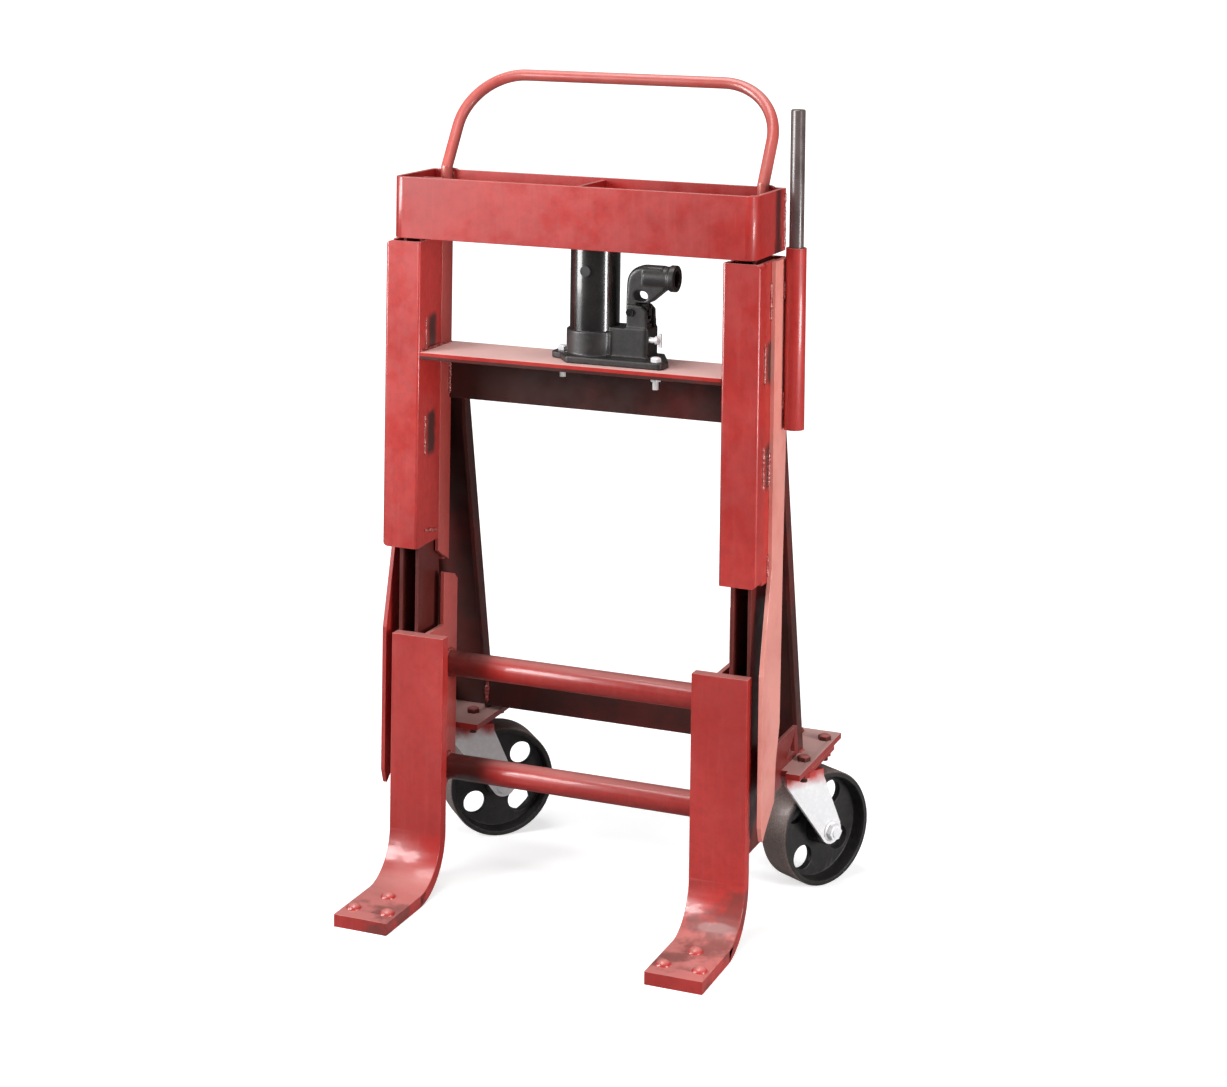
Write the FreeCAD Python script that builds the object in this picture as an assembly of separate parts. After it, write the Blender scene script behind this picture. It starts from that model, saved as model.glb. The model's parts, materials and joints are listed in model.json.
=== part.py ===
import FreeCAD, Part
import math
import os

# Wheeled hydraulic lift stand.  Millimetres, +X to the operator's right, +Y to the rear, +Z up.
# The stand is laid out about its middle plane X = 0, with the front faces of the guide posts
# at Y = 0 and the floor at Z = 0.  Before export everything is moved so that the origin is
# the centre of the floor rectangle under the whole stand.

# ---- driving dimensions: frame --------------------------------------------------------
LIFT = 114.0               # travel of the carriage, one thing with the ram's stroke
PLATE = 6.0                # wall of every bent or cut plate

POST_OUTER_X = 264.0
POST_WIDTH = 50.8
POST_DEPTH = 68.0
POST_FRONT_BAR = 22.0      # depth of the front bar, which the rear channel is stitched to
POST_STEP = 1.5            # the rear channel sits this much inside the bar on its inner side
POST_BOTTOM = 456.0
POST_TOP = 866.0
MAST_BACK_Y = 101.0
MAST_BOTTOM = 420.0
SIDE_FRONT_Y = 44.0        # the outer plate laps the post from here back
SIDE_BACK_Y = 90.0

BRACE_INNER_X = 191.0
BRACE_FOOT_Y = 208.0       # rear face of the brace where it stands on the caster mount
BRACE_SLOPE = 0.207
BRACE_LIP = 20.0
WEB_TOP = 232.0            # top of the upright web between outer plate and brace
WEB_BOTTOM = 172.0
REAR_WEB_TOP = 250.0

CROSSBEAM_TOP = 719.0
CROSSBEAM_DEPTH = 102.0
CROSSBEAM_DROP = 76.0
CROSSBEAM_WALL = 9.5
CROSSMEMBER_Y = 183.0
CROSSMEMBER_BOTTOM = 198.0
CROSSMEMBER_HEIGHT = 64.0

MOUNT_INNER_X = 174.0
MOUNT_OUTER_X = 292.0
MOUNT_FRONT_Y = 116.0
MOUNT_TIP_Y = 106.0        # front edge of the part outside the brace
MOUNT_BACK_Y = 292.0
MOUNT_THICK = 8.0

# ---- driving dimensions: carriage -----------------------------------------------------
BEAM_HALF = 256.0
BEAM_FRONT_Y = 2.0
BEAM_BACK_Y = 125.0
BEAM_BOTTOM = 870.0
BEAM_TOP = 952.0
BEAM_CORNER = 14.0
SEAT_BOTTOM = 918.0
SEAT_THICK = 12.0
SEAT_HALF = 45.0

GRIP_RADIUS = 8.0
GRIP_HALF = 229.0          # from the middle plane to the centre line of each side
GRIP_BEND = 84.0
GRIP_TOP_Z = 1081.0        # height of the tube's centre line
GRIP_FOOT_Z = 905.0
GRIP_LEAN = 32.0           # degrees back from upright

COLUMN_INNER_X = 221.4
COLUMN_FRONT_Y = 24.0
COLUMN_BACK_Y = 86.0
COLUMN_BOTTOM = 110.0
COLUMN_WALL = 5.0
TOE_INNER_X = 176.0
TOE_OUTER_X = 252.0
TOE_THICK = 16.0
TOE_TOP = 338.0
TOE_FRONT_Y = -147.0
TOE_BEND = 76.0            # outer radius of the bend
STUD_RADIUS = 9.0
TUBE_RADIUS = 16.7
TUBE_WALL = 3.4
TUBE_Y = 88.0
UPPER_TUBE_Z = 282.0
LOWER_TUBE_Z = 141.0
TUBE_PLATE_X = 205.0

# ---- driving dimensions: casters ------------------------------------------------------
CASTER_X = 241.0
CASTER_Y = 210.0
CASTER_HEIGHT = 184.15
CASTER_TRAIL = 52.0
LEFT_CASTER_ANGLE = 42.0   # direction the wheel trails, from +X towards +Y
RIGHT_CASTER_ANGLE = 60.0
WHEEL_RADIUS = 76.2
WHEEL_WIDTH = 50.0
RIM_INNER_RADIUS = 67.0
WEB_HALF = 5.0
HUB_RADIUS = 22.0
HUB_HALF = 27.0
BEARING_RADIUS = 13.0
HOLE_RADIUS = 16.0
HOLE_RING = 46.5
LEFT_HOLE_TURN = 43.0      # degrees of a wheel's first hole round from the trailing direction
RIGHT_HOLE_TURN = 57.0
AXLE_RADIUS = 6.35
AXLE_HEX = 11.0
RUNNING_GAP = 0.05
CASTER_PLATE_X = 101.6
CASTER_PLATE_Y = 114.0
CASTER_BOLT_X = 76.2
CASTER_BOLT_Y = 92.0
CASTER_BOLT_RADIUS = 5.0
CASTER_BOLT_HEAD = 7.0
CASTER_BOLT_LENGTH = 28.0
CASTER_NUT = 8.0
RACE_BOTTOM = 170.0
RACE_RADIUS = 30.0
BALL_RADIUS = 3.0
BALL_RING = 22.0
BALL_COUNT = 18
FORK_INNER = 28.5
FORK_PLATE = 5.0
FORK_FRONT = -30.0         # crown edges, measured from the swivel axis along the trail
FORK_BACK = 36.0
FORK_BOSS = 17.5
KINGPIN_RADIUS = 8.0

# ---- driving dimensions: hydraulic jack -----------------------------------------------
JACK_X = 14.0
JACK_Y = 62.0
FLANGE_THICK = 9.0
COLLAR_RADIUS = 37.0
COLLAR_TOP = 760.0
RESERVOIR_RADIUS = 33.0
RESERVOIR_BORE = 29.0
RESERVOIR_TOP = 898.0
CYLINDER_RADIUS = 21.0
CYLINDER_BORE = 16.0
CYLINDER_FLOOR = 735.0
CYLINDER_SPARE = 36.0      # cylinder length beyond the stroke
RAM_RADIUS = 15.0
RAM_TOP = 905.0
SEAL_THICK = 5.0
SEAL_BORE = 10.0
FILLER_Z = 839.0
FILLER_RADIUS = 5.0
FILLER_HEAD_RADIUS = 7.0
FILLER_HEAD = 3.5
TOP_NUT_RADIUS = 31.0
TOP_NUT = 7.0
SADDLE_RADIUS = 19.0
CHECK_BALL_RADIUS = 3.5
CHECK_BALL_XS = (57.0, 72.0)
CHECK_BALL_Z = 727.0
CLAMP_RADIUS = 4.0
CLAMP_HEAD = 6.0
CLAMP_LENGTH = 36.0
CLAMP_NUT = 7.0
CLAMP_PLACES = ((-31.0, 62.0), (113.5, 29.0))

PUMP_X = 85.0
PUMP_FLOOR = 738.0
PUMP_TOP = 766.0
PUMP_RADIUS = 9.0
PUMP_COLLAR = 5.0
PUMP_BASE = 3.0
PLUNGER_RADIUS = 6.0
BOSS_BACK_X = 97.0
BOSS_HALF = 20.0
FULCRUM_X = 71.0
FULCRUM_Z = 787.0
PIN_RADIUS = 3.0
CHEEK_LEFT_X = 65.5
CHEEK_RIGHT_X = 93.0
CHEEK_INNER = 12.5         # half the gap between the pump's two cheeks
CHEEK_THICK = 6.0
LEVER_HALF = 12.0
LEVER_LEFT_X = 62.0
ELBOW_RADIUS = 24.0
SOCKET_Z = 832.0
SOCKET_RADIUS = 15.5
SOCKET_BORE = 11.0
SOCKET_MOUTH_X = 130.0
SOCKET_RING = 17.5
WINDOW_X = 83.0            # middle of the slot through the lever's elbow
WINDOW_Z = 808.0
WINDOW_HALF = 3.0
WINDOW_RADIUS = 6.5
VALVE_Y = 50.0
VALVE_Z = 752.0
VALVE_STEM_RADIUS = 4.0
VALVE_REACH = 8.0          # how far the stem stands out of the block
VALVE_HEAD_RADIUS = 5.5
VALVE_HEAD = 4.0
VALVE_WING = 9.0
VALVE_WING_HALF = 1.8

# ---- driving dimensions: pump handle and its holder -----------------------------------
HOLDER_X = 284.0
HOLDER_Y = 84.0
HOLDER_BOTTOM = 646.0
HOLDER_TOP = 880.0
HOLDER_RADIUS = 13.35
HOLDER_BORE = 10.45
HOLDER_FLOOR = 5.0
STRAP_HALF = 7.0
STRAP_HEIGHT = 30.0
STRAP_BOTTOMS = (668.0, 810.0)
HANDLE_RADIUS = 9.5
HANDLE_TOP = 1058.0

# ---- derived values -----------------------------------------------------------------
POST_INNER_X = POST_OUTER_X - POST_WIDTH
SIDE_X = POST_OUTER_X + PLATE
MOUNT_TOP = CASTER_HEIGHT + MOUNT_THICK
BRACE_WEB = PLATE / math.cos(math.atan(BRACE_SLOPE))
BRACE_TOP_Z = MOUNT_TOP + (BRACE_FOOT_Y - BRACE_WEB - MAST_BACK_Y) / BRACE_SLOPE
COLUMN_OUTER_X = BEAM_HALF - PLATE
FLANGE_TOP = CROSSBEAM_TOP + FLANGE_THICK
CROWN_TOP = RACE_BOTTOM - 2 * BALL_RADIUS
CYLINDER_LENGTH = LIFT + CYLINDER_SPARE
OVERSHOOT = 30.0           # how far a cutting shape runs past what it cuts


# ---- shape helpers ------------------------------------------------------------------
def vec(x, y, z):
    return FreeCAD.Vector(x, y, z)


def box(x0, x1, y0, y1, z0, z1):
    return Part.makeBox(x1 - x0, y1 - y0, z1 - z0, vec(x0, y0, z0))


def rod(start, direction, radius, length):
    return Part.makeCylinder(radius, length, vec(*start), vec(*direction))


def pipe(start, direction, radius, bore, length):
    return rod(start, direction, radius, length).cut(rod(start, direction, bore, length))


def slab(points, place, direction):
    """A flat outline, its points set in space by place(a, b), made solid along direction."""
    corners = [place(a, b) for a, b in points]
    wire = Part.makePolygon(corners + corners[:1])
    return Part.Face(wire).extrude(vec(*direction))


def slab_yz(points, x0, x1):
    return slab(points, lambda y, z: vec(x0, y, z), (x1 - x0, 0, 0))


def slab_xz(points, y0, y1):
    return slab(points, lambda x, z: vec(x, y0, z), (0, y1 - y0, 0))


def slab_xy(points, z0, z1):
    return slab(points, lambda x, y: vec(x, y, z0), (0, 0, z1 - z0))


def joined(pieces):
    return pieces[0].fuse(pieces[1:]).removeSplitter()


def group(pieces):
    return Part.makeCompound(pieces)


def mirrored(shape):
    return shape.mirror(vec(0, 0, 0), vec(1, 0, 0))


def hexagon(centre, radius, z0, z1):
    """An upright hexagonal prism, its radius measured to the corners."""
    points = []
    for step in range(6):
        turn = math.radians(60 * step)
        points.append((centre[0] + radius * math.cos(turn), centre[1] + radius * math.sin(turn)))
    return slab_xy(points, z0, z1)


def rounded(shape, radius, chosen):
    """Rounds the edges whose bounding box the test accepts."""
    edges = [edge for edge in shape.Edges if chosen(edge.BoundBox)]
    return shape.makeFillet(radius, edges)


def upright_at(*places):
    """A test for upright edges standing at any of the given (x, y) places."""
    def chosen(bounds):
        flat = bounds.XLength < 0.01 and bounds.YLength < 0.01
        near = [abs(bounds.XMin - x) < 0.01 and abs(bounds.YMin - y) < 0.01 for x, y in places]
        return flat and any(near)
    return chosen


def brace_back(z):
    """Y of the brace's rear face at a height."""
    return BRACE_FOOT_Y - BRACE_SLOPE * (z - MOUNT_TOP)


# ---- fixed frame, drawn for the right side ------------------------------------------
def guide_post():
    """A front bar with a channel stitched behind it, open to the rear."""
    bar = box(POST_INNER_X, POST_OUTER_X, 0, POST_FRONT_BAR, POST_BOTTOM, POST_TOP)
    bar = rounded(bar, 3.5, upright_at((POST_INNER_X, 0), (POST_OUTER_X, 0)))
    channel_x = POST_INNER_X + POST_STEP
    channel = box(channel_x, POST_OUTER_X, POST_FRONT_BAR, POST_DEPTH, POST_BOTTOM, POST_TOP)
    channel = rounded(channel, 3, upright_at((channel_x, POST_FRONT_BAR)))
    inside = box(POST_INNER_X + PLATE, POST_OUTER_X - PLATE, PLATE, POST_DEPTH, POST_BOTTOM, POST_TOP)
    return joined([bar, channel]).cut([inside] + post_corners())


def post_corners():
    """What the rounding takes off the outer top and bottom corners of a post's front."""
    corner_radius = 8.0
    corner_x = POST_OUTER_X - corner_radius
    corners = []
    for z, toward in ((POST_BOTTOM, 1), (POST_TOP, -1)):
        centre_z = z + toward * corner_radius
        block = box(corner_x, POST_OUTER_X, 0, POST_FRONT_BAR, min(z, centre_z), max(z, centre_z))
        corners.append(block.cut(rod((corner_x, 0, centre_z), (0, 1, 0), corner_radius, POST_FRONT_BAR)))
    return corners


def rear_mast():
    inner_leg = box(POST_INNER_X, POST_INNER_X + PLATE, POST_DEPTH, MAST_BACK_Y, MAST_BOTTOM, POST_TOP)
    rear_leg = box(POST_INNER_X, POST_OUTER_X, MAST_BACK_Y - PLATE, MAST_BACK_Y, MAST_BOTTOM, POST_TOP)
    notch = [(POST_DEPTH, MAST_BOTTOM), (MAST_BACK_Y, MAST_BOTTOM), (POST_DEPTH, MAST_BOTTOM + 18)]
    notch_cut = slab_yz(notch, POST_INNER_X - 1, POST_INNER_X + PLATE)
    return joined([inner_leg, rear_leg]).cut(notch_cut)


def side_plate():
    """The outer plate: it laps the post, widens to the front below it and ends in a point."""
    outline = [
        (SIDE_FRONT_Y, POST_TOP), (SIDE_FRONT_Y, 472), (15, 342), (15, 150), (22, 130), (40, 146),
        (68, 168), (72, 216), (86, 262), (SIDE_BACK_Y, 472), (96, 640), (96, POST_TOP),
    ]
    return slab_yz(outline, POST_OUTER_X, SIDE_X)


def diagonal_brace():
    """A sloping channel open to the front: a web with a narrow lip down each side."""
    top_back = brace_back(BRACE_TOP_Z)
    web = [
        (BRACE_FOOT_Y - BRACE_WEB, MOUNT_TOP), (BRACE_FOOT_Y, MOUNT_TOP),
        (top_back, BRACE_TOP_Z), (top_back - BRACE_WEB, BRACE_TOP_Z),
    ]
    lip_end = MOUNT_TOP + (BRACE_FOOT_Y - BRACE_LIP - MAST_BACK_Y) / BRACE_SLOPE
    lip = [
        (BRACE_FOOT_Y - BRACE_LIP, MOUNT_TOP), (BRACE_FOOT_Y, MOUNT_TOP),
        (top_back, BRACE_TOP_Z), (MAST_BACK_Y, BRACE_TOP_Z), (MAST_BACK_Y, lip_end),
    ]
    brace = joined([
        slab_yz(web, BRACE_INNER_X, POST_OUTER_X),
        slab_yz(lip, POST_OUTER_X - PLATE, POST_OUTER_X),
        slab_yz(lip, BRACE_INNER_X, BRACE_INNER_X + PLATE),
    ])
    crossbeam_bottom = CROSSBEAM_TOP - CROSSBEAM_DROP
    room = box(0, POST_INNER_X + 1, SIDE_BACK_Y, BRACE_FOOT_Y, crossbeam_bottom - 2, CROSSBEAM_TOP)
    return brace.cut(room)


def jack_crossbeam():
    back = BEAM_FRONT_Y + CROSSBEAM_DEPTH
    flange = box(-POST_INNER_X, POST_INNER_X, BEAM_FRONT_Y, back,
                 CROSSBEAM_TOP - CROSSBEAM_WALL, CROSSBEAM_TOP)
    web = box(-POST_INNER_X, POST_INNER_X, back - CROSSBEAM_WALL, back,
              CROSSBEAM_TOP - CROSSBEAM_DROP, CROSSBEAM_TOP)
    holes = [rod((x, y, CROSSBEAM_TOP - OVERSHOOT), (0, 0, 1), CLAMP_RADIUS + 0.5, 2 * OVERSHOOT)
             for x, y in CLAMP_PLACES]
    return joined([flange, web]).cut(holes)


def rear_crossmember():
    top = CROSSMEMBER_BOTTOM + CROSSMEMBER_HEIGHT
    web = box(-BRACE_INNER_X, BRACE_INNER_X, CROSSMEMBER_Y, CROSSMEMBER_Y + PLATE, CROSSMEMBER_BOTTOM, top)
    foot = box(-BRACE_INNER_X, BRACE_INNER_X, CROSSMEMBER_Y, CROSSMEMBER_Y + BRACE_LIP,
               CROSSMEMBER_BOTTOM, CROSSMEMBER_BOTTOM + PLATE)
    return joined([web, foot])


def caster_bolt_places(side):
    return [(side * CASTER_X + dx * CASTER_BOLT_X / 2, CASTER_Y + dy * CASTER_BOLT_Y / 2)
            for dx in (-1, 1) for dy in (-1, 1)]


def caster_mount():
    step_x = SIDE_X + 2
    outline = [
        (MOUNT_INNER_X, MOUNT_FRONT_Y), (step_x, MOUNT_FRONT_Y), (step_x, MOUNT_TIP_Y),
        (MOUNT_OUTER_X, MOUNT_TIP_Y), (MOUNT_OUTER_X, MOUNT_BACK_Y), (MOUNT_INNER_X, MOUNT_BACK_Y),
    ]
    plate = slab_xy(outline, CASTER_HEIGHT, MOUNT_TOP)
    holes = [rod((x, y, CASTER_HEIGHT - OVERSHOOT), (0, 0, 1), CASTER_BOLT_RADIUS + 0.4, 2 * OVERSHOOT)
             for x, y in caster_bolt_places(1)]
    return plate.cut(holes)


def caster_gussets():
    """Upright webs tying each caster mount to its outer plate and its brace."""
    lap = SIDE_BACK_Y - 20
    outline = [
        (lap, WEB_BOTTOM), (lap, WEB_TOP), (brace_back(WEB_TOP) - BRACE_LIP, WEB_TOP),
        (BRACE_FOOT_Y - BRACE_LIP, MOUNT_TOP), (MOUNT_FRONT_Y, MOUNT_TOP),
        (MOUNT_FRONT_Y, WEB_BOTTOM),
    ]
    opening = [(138, 200), (170, 200), (170, 225)]
    front_web = slab_yz(outline, POST_OUTER_X - PLATE, POST_OUTER_X)
    front_web = front_web.cut(slab_yz(opening, POST_INNER_X, SIDE_X))
    rear_outline = [(BRACE_FOOT_Y, MOUNT_TOP), (MOUNT_BACK_Y - 12, MOUNT_TOP),
                    (brace_back(REAR_WEB_TOP), REAR_WEB_TOP)]
    rear_web = slab_yz(rear_outline, CASTER_X - PLATE / 2, CASTER_X + PLATE / 2)
    pair = [front_web, rear_web]
    return group(pair + [mirrored(web) for web in pair])


def handle_holder_tube():
    tube = pipe((HOLDER_X, HOLDER_Y, HOLDER_BOTTOM), (0, 0, 1), HOLDER_RADIUS, HOLDER_BORE,
                HOLDER_TOP - HOLDER_BOTTOM)
    floor = rod((HOLDER_X, HOLDER_Y, HOLDER_BOTTOM), (0, 0, 1), HOLDER_RADIUS, HOLDER_FLOOR)
    return joined([tube, floor])


def handle_holder_brackets():
    straps = []
    for z in STRAP_BOTTOMS:
        strap = box(SIDE_X, HOLDER_X, HOLDER_Y - STRAP_HALF, HOLDER_Y + STRAP_HALF, z, z + STRAP_HEIGHT)
        straps.append(strap.cut(rod((HOLDER_X, HOLDER_Y, z), (0, 0, 1), HOLDER_RADIUS, STRAP_HEIGHT)))
    return group(straps)


def hex_bolt(x, y, seat_z, head_z, radius, length):
    """A bolt hanging from its head, which sits on seat_z and is head_z thick."""
    head = hexagon((x, y), radius * 1.85, seat_z, seat_z + head_z)
    head = head.common(Part.makeSphere(radius * 2.6, vec(x, y, seat_z + head_z - radius * 2.35)))
    return joined([head, rod((x, y, seat_z - length), (0, 0, 1), radius, length + 1)])


def hex_nut(x, y, top_z, height, radius):
    nut = hexagon((x, y), radius * 1.85, top_z - height, top_z)
    return nut.cut(rod((x, y, top_z - height), (0, 0, 1), radius, height))


def caster_plate_bolts():
    places = caster_bolt_places(1) + caster_bolt_places(-1)
    return group([hex_bolt(x, y, MOUNT_TOP, CASTER_BOLT_HEAD, CASTER_BOLT_RADIUS, CASTER_BOLT_LENGTH)
                  for x, y in places])


def caster_plate_nuts():
    places = caster_bolt_places(1) + caster_bolt_places(-1)
    seat = CASTER_HEIGHT - PLATE
    return group([hex_nut(x, y, seat, CASTER_NUT, CASTER_BOLT_RADIUS) for x, y in places])


# ---- hydraulic jack -----------------------------------------------------------------
def jack_base():
    """One casting: a flange with two lugs, the reservoir's collar, the pump block and its cheeks."""
    right, front = 126, 17
    outline = [
        (-8, front), (right, front), (right, 42), (102, 92), (-4, 99), (-42, 76), (-42, 48), (-26, 40),
    ]
    flange = slab_xy(outline, CROSSBEAM_TOP, FLANGE_TOP)
    flange = rounded(flange, 7, upright_at((right, front), (right, 42), (-42, 76), (-42, 48)))
    collar = rod((JACK_X, JACK_Y, FLANGE_TOP), (0, 0, 1), COLLAR_RADIUS, COLLAR_TOP - FLANGE_TOP)
    block = box(JACK_X, BOSS_BACK_X, JACK_Y - BOSS_HALF, JACK_Y + BOSS_HALF, FLANGE_TOP, PUMP_TOP)
    block_corners = [(BOSS_BACK_X, JACK_Y + side * BOSS_HALF) for side in (-1, 1)]
    block = rounded(block, 6, upright_at(*block_corners))
    top = FULCRUM_Z + 10
    cheek = [
        (CHEEK_LEFT_X, PUMP_TOP), (CHEEK_LEFT_X, top - 2), (CHEEK_LEFT_X + 2, top), (76, top),
        (CHEEK_RIGHT_X - 6, top - 2), (CHEEK_RIGHT_X, top - 8), (CHEEK_RIGHT_X + 1.5, PUMP_TOP),
    ]
    near = JACK_Y - CHEEK_INNER
    far = JACK_Y + CHEEK_INNER
    cheeks = [slab_xz(cheek, near - CHEEK_THICK, near), slab_xz(cheek, far, far + CHEEK_THICK)]
    back_web = box(CHEEK_LEFT_X, CHEEK_LEFT_X + 4, near - 1, far + 1, PUMP_TOP, FULCRUM_Z - 10)
    return joined([flange, collar, block, back_web] + cheeks).cut(jack_base_bores())


def jack_base_bores():
    bores = [
        rod((JACK_X, JACK_Y, CYLINDER_FLOOR), (0, 0, 1), RESERVOIR_BORE, 2 * OVERSHOOT),
        rod((JACK_X, JACK_Y, COLLAR_TOP), (0, 0, 1), RESERVOIR_RADIUS, 2 * OVERSHOOT),
        rod((PUMP_X, JACK_Y, PUMP_FLOOR), (0, 0, 1), PUMP_RADIUS, OVERSHOOT),
        rod((FULCRUM_X, JACK_Y - OVERSHOOT, FULCRUM_Z), (0, 1, 0), PIN_RADIUS, 2 * OVERSHOOT),
        rod((BOSS_BACK_X - VALVE_REACH, VALVE_Y, VALVE_Z), (1, 0, 0), VALVE_STEM_RADIUS, 20),
    ]
    for x, y in CLAMP_PLACES:
        bores.append(rod((x, y, CROSSBEAM_TOP), (0, 0, 1), CLAMP_RADIUS + 0.5, OVERSHOOT / 2))
    for x, y, z in valve_ball_places():
        pocket = CHECK_BALL_RADIUS + 0.5
        bores.append(rod((x, y, z - pocket), (0, 0, 1), pocket, 2 * pocket))
    return bores


def valve_ball_places():
    return [(x, JACK_Y, CHECK_BALL_Z) for x in CHECK_BALL_XS]


def check_valve_balls():
    return group([Part.makeSphere(CHECK_BALL_RADIUS, vec(*place)) for place in valve_ball_places()])


def jack_reservoir():
    tube = pipe((JACK_X, JACK_Y, COLLAR_TOP), (0, 0, 1), RESERVOIR_RADIUS, RESERVOIR_BORE,
                RESERVOIR_TOP - COLLAR_TOP)
    return tube.cut(rod((JACK_X, JACK_Y - RESERVOIR_RADIUS - 5, FILLER_Z), (0, 1, 0), FILLER_RADIUS, 15))


def filler_plug():
    front = JACK_Y - RESERVOIR_RADIUS
    stem = rod((JACK_X, front - 1, FILLER_Z), (0, 1, 0), FILLER_RADIUS - RUNNING_GAP, 5)
    head = rod((JACK_X, front - FILLER_HEAD, FILLER_Z), (0, 1, 0), FILLER_HEAD_RADIUS, FILLER_HEAD)
    return joined([head, stem])


def jack_cylinder():
    return pipe((JACK_X, JACK_Y, CYLINDER_FLOOR), (0, 0, 1), CYLINDER_RADIUS, CYLINDER_BORE, CYLINDER_LENGTH)


def jack_top_nut():
    spigot_bottom = CYLINDER_FLOOR + CYLINDER_LENGTH
    top = RESERVOIR_TOP + TOP_NUT
    spigot = rod((JACK_X, JACK_Y, spigot_bottom), (0, 0, 1), RESERVOIR_BORE, top - spigot_bottom)
    cap = hexagon((JACK_X, JACK_Y), TOP_NUT_RADIUS, RESERVOIR_TOP, top)
    bore = rod((JACK_X, JACK_Y, spigot_bottom - 15), (0, 0, 1), RAM_RADIUS + RUNNING_GAP, 2 * OVERSHOOT)
    return joined([spigot, cap]).cut(bore)


def jack_clamp_bolts():
    return group([hex_bolt(x, y, FLANGE_TOP, CLAMP_HEAD, CLAMP_RADIUS, CLAMP_LENGTH)
                  for x, y in CLAMP_PLACES])


def jack_clamp_nuts():
    top = CROSSBEAM_TOP - CROSSBEAM_WALL
    return group([hex_nut(x, y, top, CLAMP_NUT, CLAMP_RADIUS) for x, y in CLAMP_PLACES])


def pump_barrel():
    body = rod((PUMP_X, JACK_Y, PUMP_FLOOR), (0, 0, 1), PUMP_RADIUS, PUMP_TOP - PUMP_FLOOR)
    collar = hexagon((PUMP_X, JACK_Y), PUMP_RADIUS, PUMP_TOP, PUMP_TOP + PUMP_COLLAR)
    bore = rod((PUMP_X, JACK_Y, PUMP_FLOOR + PUMP_BASE), (0, 0, 1), PLUNGER_RADIUS + RUNNING_GAP,
               2 * OVERSHOOT)
    return joined([body, collar]).cut(bore)


def fulcrum_pin():
    length = 2 * (CHEEK_INNER + CHEEK_THICK)
    shaft = rod((FULCRUM_X, JACK_Y - length / 2, FULCRUM_Z), (0, 1, 0), PIN_RADIUS, length + 1)
    head = rod((FULCRUM_X, JACK_Y - length / 2 - 3, FULCRUM_Z), (0, 1, 0), PIN_RADIUS + 2, 3)
    return joined([shaft, head])


def ram_rod():
    tail = rod((JACK_X, JACK_Y, CYLINDER_FLOOR + SEAL_THICK), (0, 0, 1), SEAL_BORE, SEAL_THICK)
    bottom = CYLINDER_FLOOR + 2 * SEAL_THICK
    return joined([rod((JACK_X, JACK_Y, bottom), (0, 0, 1), RAM_RADIUS, RAM_TOP - bottom), tail])


def ram_seal():
    return pipe((JACK_X, JACK_Y, CYLINDER_FLOOR + SEAL_THICK), (0, 0, 1), CYLINDER_BORE - RUNNING_GAP,
                SEAL_BORE, SEAL_THICK)


def ram_saddle():
    saddle = rod((JACK_X, JACK_Y, RAM_TOP), (0, 0, 1), SADDLE_RADIUS, SEAT_BOTTOM - RAM_TOP)
    rim = [edge for edge in saddle.Edges if edge.BoundBox.ZMin > SEAT_BOTTOM - 0.01]
    return saddle.makeChamfer(2, rim)


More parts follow.
